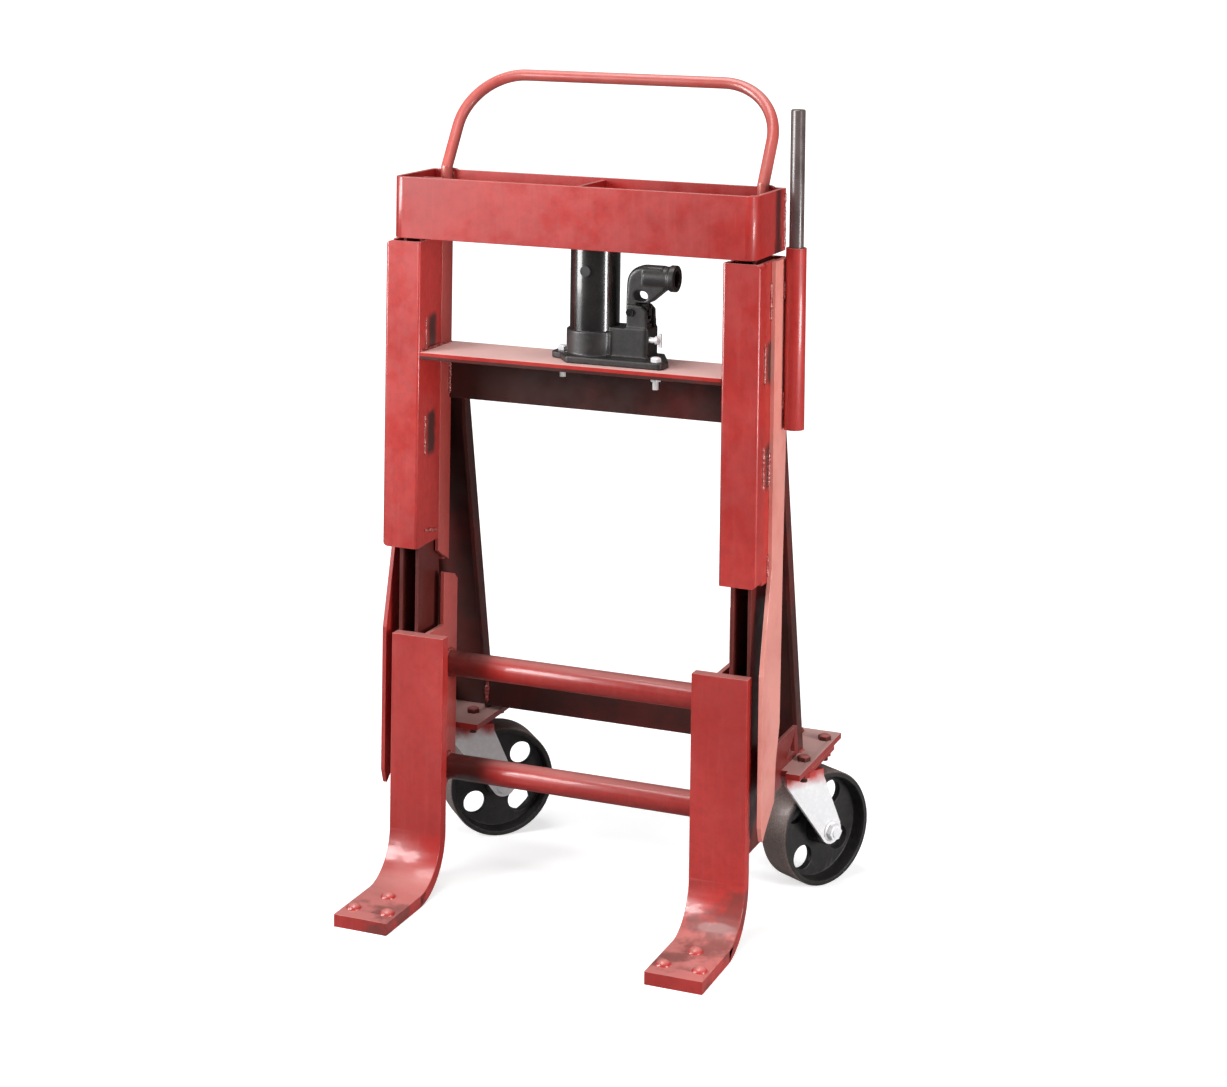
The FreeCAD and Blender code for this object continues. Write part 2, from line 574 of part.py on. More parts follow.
def pump_socket():
    """The elbowed lever: a tang on the fulcrum pin, an elbow and a socket for the handle."""
    elbow_x = LEVER_LEFT_X + ELBOW_RADIUS
    elbow_z = SOCKET_Z + SOCKET_RADIUS - ELBOW_RADIUS
    foot_right_x = FULCRUM_X + 6
    outline = [(LEVER_LEFT_X + 0.5, FULCRUM_Z + 2)]
    for step in range(9):
        turn = math.radians(180 - 90 * step / 8)
        outline.append((elbow_x + ELBOW_RADIUS * math.cos(turn), elbow_z + ELBOW_RADIUS * math.sin(turn)))
    outline += [(112, SOCKET_Z + SOCKET_RADIUS), (116, SOCKET_Z - SOCKET_RADIUS + 1),
                (CHEEK_RIGHT_X + 1, FULCRUM_Z + 12), (foot_right_x, FULCRUM_Z + 12),
                (foot_right_x, FULCRUM_Z + 2)]
    elbow = slab_xz(outline, JACK_Y - LEVER_HALF, JACK_Y + LEVER_HALF)
    rim = [edge for edge in elbow.Edges if edge.BoundBox.ZMin > elbow_z - 1 and edge.BoundBox.YLength < 0.01]
    elbow = elbow.makeFillet(6, rim)
    tang = slab_xz([(64, FULCRUM_Z - 6), (64, FULCRUM_Z + 14), (89, FULCRUM_Z + 14), (89, FULCRUM_Z + 5),
                    (93, FULCRUM_Z + 3), (93, FULCRUM_Z - 5)], JACK_Y - 5, JACK_Y + 5)
    barrel = rod((elbow_x, JACK_Y, SOCKET_Z), (1, 0, 0), SOCKET_RADIUS, SOCKET_MOUTH_X - elbow_x)
    ring = rod((SOCKET_MOUTH_X - 9, JACK_Y, SOCKET_Z), (1, 0, 0), SOCKET_RING, 9)
    hub_half = CHEEK_INNER - 0.5
    hub = rod((FULCRUM_X, JACK_Y - hub_half, FULCRUM_Z), (0, 1, 0), 8, 2 * hub_half)
    lever = joined([elbow, barrel, ring, tang, hub])
    front = JACK_Y - OVERSHOOT
    depth = 2 * OVERSHOOT
    slot_half = PIN_RADIUS + 0.7
    pin_slot = [rod((PUMP_X + dx, front, FULCRUM_Z), (0, 1, 0), slot_half, depth) for dx in (-1.5, 2.5)]
    pin_slot.append(box(PUMP_X - 1.5, PUMP_X + 2.5, front, front + depth, FULCRUM_Z - slot_half,
                        FULCRUM_Z + slot_half))
    window_ends = (WINDOW_X - WINDOW_HALF, WINDOW_X + WINDOW_HALF)
    window = [rod((x, front, WINDOW_Z), (0, 1, 0), WINDOW_RADIUS, depth) for x in window_ends]
    window.append(box(*window_ends, front, front + depth, WINDOW_Z - WINDOW_RADIUS,
                      WINDOW_Z + WINDOW_RADIUS))
    return lever.cut([
        rod((elbow_x + 12, JACK_Y, SOCKET_Z), (1, 0, 0), SOCKET_BORE, 2 * OVERSHOOT),
        rod((FULCRUM_X, front, FULCRUM_Z), (0, 1, 0), PIN_RADIUS + RUNNING_GAP, depth),
    ] + pin_slot + window)


def pump_plunger():
    """A plain plunger with a forked head that straddles the lever's tang."""
    head_bottom = FULCRUM_Z - 13
    stem = rod((PUMP_X, JACK_Y, PUMP_FLOOR + 5), (0, 0, 1), PLUNGER_RADIUS, head_bottom - PUMP_FLOOR - 4)
    head = box(PUMP_X - 6, PUMP_X + 6, JACK_Y - 10, JACK_Y + 10, head_bottom, FULCRUM_Z + 6)
    slot = box(PUMP_X - 9, PUMP_X + 9, JACK_Y - 6, JACK_Y + 6, head_bottom + 3, FULCRUM_Z + OVERSHOOT)
    pin_hole = rod((PUMP_X, JACK_Y - OVERSHOOT, FULCRUM_Z), (0, 1, 0), PIN_RADIUS, 2 * OVERSHOOT)
    return joined([stem, head]).cut([slot, pin_hole])


def plunger_pin():
    return rod((PUMP_X, JACK_Y - 10, FULCRUM_Z), (0, 1, 0), PIN_RADIUS, 20)


def release_valve():
    """A small tee-headed screw in the side of the pump."""
    head_x = BOSS_BACK_X + VALVE_REACH
    wing_x = head_x + VALVE_HEAD
    stem = rod((BOSS_BACK_X - 7, VALVE_Y, VALVE_Z), (1, 0, 0), VALVE_STEM_RADIUS - RUNNING_GAP, 16)
    head = rod((head_x, VALVE_Y, VALVE_Z), (1, 0, 0), VALVE_HEAD_RADIUS, VALVE_HEAD)
    wings = box(wing_x, wing_x + VALVE_HEAD, VALVE_Y - VALVE_WING_HALF, VALVE_Y + VALVE_WING_HALF,
                VALVE_Z - VALVE_WING, VALVE_Z + VALVE_WING)
    return joined([stem, head, wings])


# ---- lift carriage ------------------------------------------------------------------
def beam_front_channel():
    outer = box(-BEAM_HALF, BEAM_HALF, BEAM_FRONT_Y, BEAM_BACK_Y - PLATE, BEAM_BOTTOM, BEAM_TOP)
    outer = rounded(outer, BEAM_CORNER,
                    upright_at((-BEAM_HALF, BEAM_FRONT_Y), (BEAM_HALF, BEAM_FRONT_Y)))
    inside = BEAM_HALF - PLATE
    inner = box(-inside, inside, BEAM_FRONT_Y + PLATE, BEAM_BACK_Y, BEAM_BOTTOM, BEAM_TOP)
    inner = rounded(inner, BEAM_CORNER - PLATE,
                    upright_at((-inside, BEAM_FRONT_Y + PLATE), (inside, BEAM_FRONT_Y + PLATE)))
    return outer.cut(inner)


def beam_rear_plate():
    return box(-BEAM_HALF, BEAM_HALF, BEAM_BACK_Y - PLATE, BEAM_BACK_Y, BEAM_BOTTOM, BEAM_TOP)


def beam_divider():
    return box(-PLATE / 2, PLATE / 2, BEAM_FRONT_Y + PLATE, BEAM_BACK_Y - PLATE,
               SEAT_BOTTOM + SEAT_THICK, BEAM_TOP - 3)


def ram_seat():
    return box(JACK_X - SEAT_HALF, JACK_X + SEAT_HALF, BEAM_FRONT_Y + PLATE, BEAM_BACK_Y - PLATE,
               SEAT_BOTTOM, SEAT_BOTTOM + SEAT_THICK)


def grip_handle():
    """A round tube bent to an arch, leaning back, its feet inside the rear wall of the beam."""
    foot_y = BEAM_BACK_Y - PLATE - GRIP_RADIUS
    bend_z = BEAM_TOP + 4
    height = (GRIP_TOP_Z - bend_z) / math.cos(math.radians(GRIP_LEAN))
    inset = GRIP_HALF - GRIP_BEND
    shoulder = height - GRIP_BEND
    diagonal = GRIP_BEND * math.sin(math.radians(45))

    def arc(side):
        return Part.Arc(vec(side * GRIP_HALF, 0, shoulder),
                        vec(side * (inset + diagonal), 0, shoulder + diagonal),
                        vec(side * inset, 0, height))

    path = Part.Wire([
        Part.LineSegment(vec(GRIP_HALF, 0, 0), vec(GRIP_HALF, 0, shoulder)).toShape(),
        arc(1).toShape(),
        Part.LineSegment(vec(inset, 0, height), vec(-inset, 0, height)).toShape(),
        arc(-1).toShape(),
        Part.LineSegment(vec(-GRIP_HALF, 0, shoulder), vec(-GRIP_HALF, 0, 0)).toShape(),
    ])
    profile = Part.Wire([Part.makeCircle(GRIP_RADIUS, vec(GRIP_HALF, 0, 0), vec(0, 0, 1))])
    arch = path.makePipeShell([profile], True, False)
    arch.rotate(vec(0, 0, 0), vec(1, 0, 0), -GRIP_LEAN)
    arch.translate(vec(0, foot_y, bend_z))
    pieces = [arch]
    for side in (-1, 1):
        pieces.append(Part.makeSphere(GRIP_RADIUS, vec(side * GRIP_HALF, foot_y, bend_z)))
        pieces.append(rod((side * GRIP_HALF, foot_y, GRIP_FOOT_Z), (0, 0, 1), GRIP_RADIUS,
                          bend_z - GRIP_FOOT_Z))
    return joined(pieces)


def column():
    """A channel open to the front, with a guide block that runs inside the guide post."""
    top = BEAM_TOP - 8
    outer = box(COLUMN_INNER_X, COLUMN_OUTER_X, COLUMN_FRONT_Y, COLUMN_BACK_Y, COLUMN_BOTTOM, top)
    inner = box(COLUMN_INNER_X + COLUMN_WALL, COLUMN_OUTER_X - COLUMN_WALL, COLUMN_FRONT_Y,
                COLUMN_BACK_Y - COLUMN_WALL, COLUMN_BOTTOM, top)
    block = box(COLUMN_INNER_X, COLUMN_OUTER_X, PLATE + 1, COLUMN_FRONT_Y + 10, 600, 720)
    return joined([outer.cut(inner), block])


def toe_bar():
    """A flat bar bent forward: an upright, a quarter bend and a toe on the floor."""
    back = COLUMN_FRONT_Y
    front = back - TOE_THICK
    bend_y = back - TOE_BEND
    bend_z = TOE_BEND
    upright = box(TOE_INNER_X, TOE_OUTER_X, front, back, bend_z, TOE_TOP)
    toe = box(TOE_INNER_X, TOE_OUTER_X, TOE_FRONT_Y, bend_y, 0, TOE_THICK)
    width = TOE_OUTER_X - TOE_INNER_X
    bend = pipe((TOE_INNER_X, bend_y, bend_z), (1, 0, 0), TOE_BEND, TOE_BEND - TOE_THICK, width)
    bend = bend.common(box(TOE_INNER_X, TOE_OUTER_X, bend_y, back, 0, bend_z))
    bar = joined([upright, bend, toe])
    stud_holes = [rod((x, y, 0), (0, 0, 1), STUD_RADIUS / 2, TOE_THICK) for x, y in toe_stud_places()]
    return bar.cut(stud_holes)


def toe_stud_places():
    middle = (TOE_INNER_X + TOE_OUTER_X) / 2
    return [(middle - 24, -118), (middle + 24, -118), (middle, -68)]


def toe_studs():
    studs = []
    for x, y in toe_stud_places():
        shank = rod((x, y, 2), (0, 0, 1), STUD_RADIUS / 2, TOE_THICK - 2)
        dome = Part.makeSphere(STUD_RADIUS * 1.25, vec(x, y, TOE_THICK - 5))
        dome = dome.common(box(x - 20, x + 20, y - 20, y + 20, TOE_THICK, TOE_THICK + 20))
        studs.append(joined([shank, dome]))
    return group(studs + [mirrored(stud) for stud in studs])


def tube_plates():
    """Upright plates welded behind the toe bars; the cross tubes end in them."""
    outline = [
        (COLUMN_FRONT_Y, 112), (84, 112), (112, 148), (112, 392), (104, 400), (70, 410),
        (70, TOE_TOP), (COLUMN_FRONT_Y, TOE_TOP),
    ]
    plate = slab_yz(outline, TUBE_PLATE_X, TUBE_PLATE_X + PLATE)
    return group([plate, mirrored(plate)])


def cross_tube(z):
    return pipe((-TUBE_PLATE_X, TUBE_Y, z), (1, 0, 0), TUBE_RADIUS, TUBE_RADIUS - TUBE_WALL,
                2 * TUBE_PLATE_X)


# ---- handle and casters -------------------------------------------------------------
def pump_handle_rod():
    bottom = HOLDER_BOTTOM + HOLDER_FLOOR
    bar = rod((HOLDER_X, HOLDER_Y, bottom), (0, 0, 1), HANDLE_RADIUS, HANDLE_TOP - bottom)
    rim = [edge for edge in bar.Edges if edge.BoundBox.ZMin > HANDLE_TOP - 0.01]
    return bar.makeChamfer(1.2, rim)


# A caster is drawn with its swivel axis at X = Y = 0 and its wheel trailing along +X.
def caster_plate():
    half_x = CASTER_PLATE_X / 2
    half_y = CASTER_PLATE_Y / 2
    plate = box(-half_x, half_x, -half_y, half_y, CASTER_HEIGHT - PLATE, CASTER_HEIGHT)
    plate = rounded(plate, 8, upright_at(*[(dx * half_x, dy * half_y) for dx in (-1, 1) for dy in (-1, 1)]))
    race = rod((0, 0, RACE_BOTTOM), (0, 0, 1), RACE_RADIUS, CASTER_HEIGHT - PLATE - RACE_BOTTOM)
    crown_bottom = CROWN_TOP - PLATE
    pin = rod((0, 0, crown_bottom - 2), (0, 0, 1), KINGPIN_RADIUS, CASTER_HEIGHT - PLATE - crown_bottom)
    nut = hexagon((0, 0), 13, crown_bottom - 9, crown_bottom - 0.5)
    holes = [rod((dx * CASTER_BOLT_X / 2, dy * CASTER_BOLT_Y / 2, RACE_BOTTOM), (0, 0, 1),
                 CASTER_BOLT_RADIUS + 0.4, OVERSHOOT) for dx in (-1, 1) for dy in (-1, 1)]
    return joined([plate, race, pin, nut]).cut(holes)


def swivel_bearing():
    balls = []
    for step in range(BALL_COUNT):
        turn = math.radians(360 * step / BALL_COUNT)
        centre = vec(BALL_RING * math.cos(turn), BALL_RING * math.sin(turn), CROWN_TOP + BALL_RADIUS)
        balls.append(Part.makeSphere(BALL_RADIUS, centre))
    return group(balls)


def caster_fork():
    """A bent yoke: a flat crown and two legs that taper down to the axle."""
    leg_outline = [
        (FORK_FRONT, CROWN_TOP), (FORK_BACK, CROWN_TOP), (FORK_BACK + 1, CROWN_TOP - 10),
        (CASTER_TRAIL + 16.5, WHEEL_RADIUS + 8), (CASTER_TRAIL, WHEEL_RADIUS - 16),
        (CASTER_TRAIL - 14, WHEEL_RADIUS - 10), (FORK_FRONT, CROWN_TOP - 12),
    ]
    legs = []
    for near in (FORK_INNER, -FORK_INNER - FORK_PLATE):
        leg = slab_xz(leg_outline, near, near + FORK_PLATE)
        legs.append(joined([leg, rod((CASTER_TRAIL, near, WHEEL_RADIUS), (0, 1, 0), FORK_BOSS, FORK_PLATE)]))
    crown = box(FORK_FRONT, FORK_BACK, -FORK_INNER, FORK_INNER, CROWN_TOP - PLATE, CROWN_TOP)
    return joined([crown] + legs).cut([
        rod((0, 0, CROWN_TOP - OVERSHOOT), (0, 0, 1), KINGPIN_RADIUS + RUNNING_GAP, 2 * OVERSHOOT),
        rod((CASTER_TRAIL, -2 * OVERSHOOT, WHEEL_RADIUS), (0, 1, 0), AXLE_RADIUS, 4 * OVERSHOOT),
    ])


def caster_axle():
    reach = FORK_INNER + FORK_PLATE
    shaft = rod((CASTER_TRAIL, -reach - 11, WHEEL_RADIUS), (0, 1, 0), AXLE_RADIUS, 2 * reach + 12)
    head = hexagon((0, 0), AXLE_HEX, 0, 8)
    head.rotate(vec(0, 0, 0), vec(1, 0, 0), -90)
    head.translate(vec(CASTER_TRAIL, reach, WHEEL_RADIUS))
    nut = hexagon((0, 0), AXLE_HEX, 0, 9).cut(rod((0, 0, -1), (0, 0, 1), AXLE_RADIUS, 12))
    nut.rotate(vec(0, 0, 0), vec(1, 0, 0), 90)
    nut.translate(vec(CASTER_TRAIL, -reach, WHEEL_RADIUS))
    return group([joined([shaft, head]), nut])


def caster_wheel(hole_turn):
    """A cast wheel: a wide rim, a thin web with four large round holes, and a hub."""
    half = WHEEL_WIDTH / 2
    radius = WHEEL_RADIUS
    front = [
        (BEARING_RADIUS, -HUB_HALF), (HUB_RADIUS - 2, -HUB_HALF), (HUB_RADIUS, -WEB_HALF),
        (RIM_INNER_RADIUS, -WEB_HALF), (RIM_INNER_RADIUS + 2, -half), (radius - 2, -half),
        (radius, -half + 3),
    ]
    profile = front + [(r, -y) for r, y in reversed(front)]
    corners = [vec(CASTER_TRAIL + r, y, radius) for r, y in profile]
    face = Part.Face(Part.makePolygon(corners + corners[:1]))
    wheel = face.revolve(vec(CASTER_TRAIL, 0, radius), vec(0, 1, 0), 360)
    holes = []
    for step in range(4):
        turn = math.radians(hole_turn + 90 * step)
        x = CASTER_TRAIL + HOLE_RING * math.cos(turn)
        z = radius + HOLE_RING * math.sin(turn)
        holes.append(rod((x, -OVERSHOOT, z), (0, 1, 0), HOLE_RADIUS, 2 * OVERSHOOT))
    return wheel.cut(holes)


def wheel_bearing():
    return pipe((CASTER_TRAIL, -HUB_HALF - 1, WHEEL_RADIUS), (0, 1, 0), BEARING_RADIUS,
                AXLE_RADIUS + RUNNING_GAP, 2 * HUB_HALF + 2)


def placed_caster(side, angle, hole_turn):
    """Turns a caster about its swivel axis and carries it to its place on the stand."""
    pieces = {
        "caster_plate": caster_plate(), "swivel_bearing": swivel_bearing(),
        "caster_fork": caster_fork(), "caster_axle": caster_axle(),
        "caster_wheel": caster_wheel(hole_turn), "wheel_bearing": wheel_bearing(),
    }
    name = "right" if side > 0 else "left"
    placed = {}
    for piece, shape in pieces.items():
        if piece != "caster_plate":
            shape.rotate(vec(0, 0, 0), vec(0, 0, 1), angle)
        shape.translate(vec(side * CASTER_X, CASTER_Y, 0))
        placed[name + "_" + piece] = shape
    return placed


# ---- the whole stand ----------------------------------------------------------------
def stand():
    parts = {}
    paired = {
        "guide_post": guide_post(), "side_plate": side_plate(),
        "diagonal_brace": diagonal_brace(), "caster_mount": caster_mount(),
        "column": column(), "toe_bar": toe_bar(),
    }
    for name, shape in paired.items():
        parts["right_" + name] = shape
        parts["left_" + name] = mirrored(shape)
    mast = rear_mast()
    parts.update({
        "rear_masts": group([mast, mirrored(mast)]),
        "jack_crossbeam": jack_crossbeam(), "rear_crossmember": rear_crossmember(),
        "caster_gussets": caster_gussets(), "handle_holder_tube": handle_holder_tube(),
        "handle_holder_brackets": handle_holder_brackets(),
        "caster_plate_bolts": caster_plate_bolts(), "caster_plate_nuts": caster_plate_nuts(),
        "jack_base": jack_base(), "check_valve_balls": check_valve_balls(),
        "jack_reservoir": jack_reservoir(), "filler_plug": filler_plug(),
        "jack_cylinder": jack_cylinder(), "jack_top_nut": jack_top_nut(),
        "jack_clamp_bolts": jack_clamp_bolts(), "jack_clamp_nuts": jack_clamp_nuts(),
        "pump_barrel": pump_barrel(), "fulcrum_pin": fulcrum_pin(),
        "ram_rod": ram_rod(), "ram_seal": ram_seal(), "ram_saddle": ram_saddle(),
        "pump_socket": pump_socket(), "pump_plunger": pump_plunger(),
        "plunger_pin": plunger_pin(), "release_valve": release_valve(),
        "beam_front_channel": beam_front_channel(), "beam_rear_plate": beam_rear_plate(),
        "beam_divider": beam_divider(), "ram_seat": ram_seat(), "grip_handle": grip_handle(),
        "tube_plates": tube_plates(), "upper_cross_tube": cross_tube(UPPER_TUBE_Z),
        "lower_cross_tube": cross_tube(LOWER_TUBE_Z), "toe_studs": toe_studs(),
        "pump_handle_rod": pump_handle_rod(),
    })
    parts.update(placed_caster(1, RIGHT_CASTER_ANGLE, RIGHT_HOLE_TURN))
    parts.update(placed_caster(-1, LEFT_CASTER_ANGLE, LEFT_HOLE_TURN))
    return parts


def floor_centre(parts):
    """The centre of the floor rectangle under the whole stand."""
    whole = Part.makeCompound(list(parts.values())).optimalBoundingBox(False)
    return vec((whole.XMin + whole.XMax) / 2, (whole.YMin + whole.YMax) / 2, 0)


os.makedirs("parts", exist_ok=True)
PARTS = stand()
CENTRE = floor_centre(PARTS)
for node, shape in PARTS.items():
    shape.translate(vec(-CENTRE.x, -CENTRE.y, 0))
    shape.exportStep("parts/" + node + ".step")
print("parts", len(PARTS), "origin moved by", round(CENTRE.x, 3), round(CENTRE.y, 3))
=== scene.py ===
import json
import math

import bmesh
import bpy
import numpy as np
from mathutils import Matrix, Vector


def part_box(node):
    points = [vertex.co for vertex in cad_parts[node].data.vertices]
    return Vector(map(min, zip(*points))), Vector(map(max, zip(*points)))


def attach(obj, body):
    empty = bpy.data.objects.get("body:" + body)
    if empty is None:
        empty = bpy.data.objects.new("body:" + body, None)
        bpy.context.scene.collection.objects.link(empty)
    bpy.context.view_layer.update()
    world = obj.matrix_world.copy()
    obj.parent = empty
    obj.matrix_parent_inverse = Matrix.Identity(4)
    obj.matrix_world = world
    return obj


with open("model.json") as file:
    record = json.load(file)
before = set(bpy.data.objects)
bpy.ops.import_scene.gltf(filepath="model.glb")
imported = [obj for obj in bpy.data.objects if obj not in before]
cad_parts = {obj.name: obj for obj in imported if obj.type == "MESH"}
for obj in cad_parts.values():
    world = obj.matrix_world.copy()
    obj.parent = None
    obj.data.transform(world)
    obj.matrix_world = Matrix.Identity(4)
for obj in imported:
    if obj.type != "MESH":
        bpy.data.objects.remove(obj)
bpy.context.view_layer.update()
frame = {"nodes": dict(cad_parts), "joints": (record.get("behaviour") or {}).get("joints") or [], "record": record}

# A wheeled hydraulic lift stand.  Everything is in metres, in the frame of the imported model.

NODES = frame["nodes"]
JOINTS = {joint["name"]: joint for joint in frame["joints"]}
SLOT_OF = {part["node"]: part["material_slot"] for part in frame["record"]["subparts"]}

# ---- camera -------------------------------------------------------------------------
VIEW_AZIMUTH = 22.0        # degrees, the direction the level camera looks
VIEW_PLACE = (1.2335, -3.043, 1.301)
VIEW_PITCH = 0.62
VIEW_ROLL = 0.78
VIEW_LENS = 72.5
VIEW_SHIFT = -0.488        # a shift lens keeps the uprights parallel

# ---- finish -------------------------------------------------------------------------
EDGE_SOFTNESS = 0.0009     # radius of the softened plate edges
CAST_GRAIN = 0.0011        # cell size of the softened castings
BEAD = 0.0030              # radius of a weld bead
BEAD_STEP = 0.0011         # spacing of the rings along a bead
BEAD_PITCH = 0.0046        # spacing of the ripples


# ---- node graph helpers ---------------------------------------------------------------
class Graph:
    """A small wrapper that adds shader nodes and links them in one call each."""

    def __init__(self, name):
        self.material = bpy.data.materials.new(name)
        self.material.use_nodes = True
        self.tree = self.material.node_tree
        self.tree.nodes.clear()
        self.output = self.tree.nodes.new("ShaderNodeOutputMaterial")
        self.surface = self.tree.nodes.new("ShaderNodeBsdfPrincipled")
        self.tree.links.new(self.surface.outputs[0], self.output.inputs[0])
        self.place = self.tree.nodes.new("ShaderNodeTexCoord").outputs["Object"]

    def put(self, socket, value):
        if isinstance(value, bpy.types.NodeSocket):
            self.tree.links.new(value, socket)
        else:
            socket.default_value = value

    def set(self, **values):
        """Principled inputs by name, with underscores for spaces."""
        for name, value in values.items():
            self.put(self.surface.inputs[name.replace("_", " ")], value)

    def stretched(self, scale):
        node = self.tree.nodes.new("ShaderNodeMapping")
        self.put(node.inputs["Vector"], self.place)
        node.inputs["Scale"].default_value = scale
        return node.outputs[0]

    def noise(self, scale, detail=3.0, rough=0.5, place=None, twist=0.0):
        node = self.tree.nodes.new("ShaderNodeTexNoise")
        self.put(node.inputs["Vector"], place or self.place)
        node.inputs["Scale"].default_value = scale
        node.inputs["Detail"].default_value = detail
        node.inputs["Roughness"].default_value = rough
        node.inputs["Distortion"].default_value = twist
        return node.outputs["Fac"]

    def cells(self, scale, place=None):
        node = self.tree.nodes.new("ShaderNodeTexVoronoi")
        self.put(node.inputs["Vector"], place or self.place)
        node.inputs["Scale"].default_value = scale
        return node.outputs["Distance"]

    def ramp(self, value, low, high, start=0.0, end=1.0):
        """Maps low..high to start..end, smoothly and clamped."""
        node = self.tree.nodes.new("ShaderNodeMapRange")
        node.interpolation_type = "SMOOTHSTEP"
        self.put(node.inputs["Value"], value)
        for name, number in (("From Min", low), ("From Max", high), ("To Min", start), ("To Max", end)):
            node.inputs[name].default_value = number
        return node.outputs[0]

    def math(self, kind, first, second=0.0):
        node = self.tree.nodes.new("ShaderNodeMath")
        node.operation = kind
        self.put(node.inputs[0], first)
        self.put(node.inputs[1], second)
        return node.outputs[0]

    def blend(self, share, first, second):
        node = self.tree.nodes.new("ShaderNodeMix")
        node.data_type = "RGBA"
        self.put(node.inputs["Factor"], share)
        for socket, colour in ((node.inputs[6], first), (node.inputs[7], second)):
            if isinstance(colour, bpy.types.NodeSocket):
                self.put(socket, colour)
            else:
                socket.default_value = (*colour, 1.0)
        return node.outputs[2]

    def split(self, vector):
        node = self.tree.nodes.new("ShaderNodeSeparateXYZ")
        self.put(node.inputs[0], vector)
        return node.outputs

    def vector(self, kind, first, second=(0.0, 0.0, 0.0)):
        node = self.tree.nodes.new("ShaderNodeVectorMath")
        node.operation = kind
        self.put(node.inputs[0], first)
        self.put(node.inputs[1], second)
        return node.outputs["Value"] if kind in ("DOT_PRODUCT", "LENGTH") else node.outputs[0]

    def normal(self):
        return self.tree.nodes.new("ShaderNodeNewGeometry").outputs["Normal"]

    def facing_up(self):
        return self.ramp(self.split(self.normal())[2], 0.55, 0.95)

    def patch(self, y0, y1, z0, z1):
        """1 inside a soft-edged window in Y and Z, broken up a little."""
        place = self.split(self.place)
        wobble = self.math("MULTIPLY", self.math("SUBTRACT", self.noise(60.0, 4.0), 0.5), 0.012)
        y = self.math("ADD", place[1], wobble)
        z = self.math("ADD", place[2], wobble)
        soft = 0.006
        inside_y = self.math("MULTIPLY", self.ramp(y, y0 - soft, y0 + soft), self.ramp(y, y1 + soft, y1 - soft))
        inside_z = self.math("MULTIPLY", self.ramp(z, z0 - soft, z0 + soft), self.ramp(z, z1 + soft, z1 - soft))
        return self.math("MULTIPLY", self.math("MULTIPLY", inside_y, inside_z), 0.92)

    def edges(self, radius=0.0016):
        """Close to 1 along outside and inside edges and 0 on flat stretches."""
        bevel = self.tree.nodes.new("ShaderNodeBevel")
        bevel.samples = 4
        bevel.inputs["Radius"].default_value = radius
        same = self.vector("DOT_PRODUCT", bevel.outputs[0], self.normal())
        return self.ramp(same, 0.99, 0.86)

    def bump(self, height, strength, distance, under=None):
        node = self.tree.nodes.new("ShaderNodeBump")
        node.inputs["Strength"].default_value = strength
        node.inputs["Distance"].default_value = distance
        self.put(node.inputs["Height"], height)
        if under is not None:
            self.put(node.inputs["Normal"], under)
        return node.outputs[0]


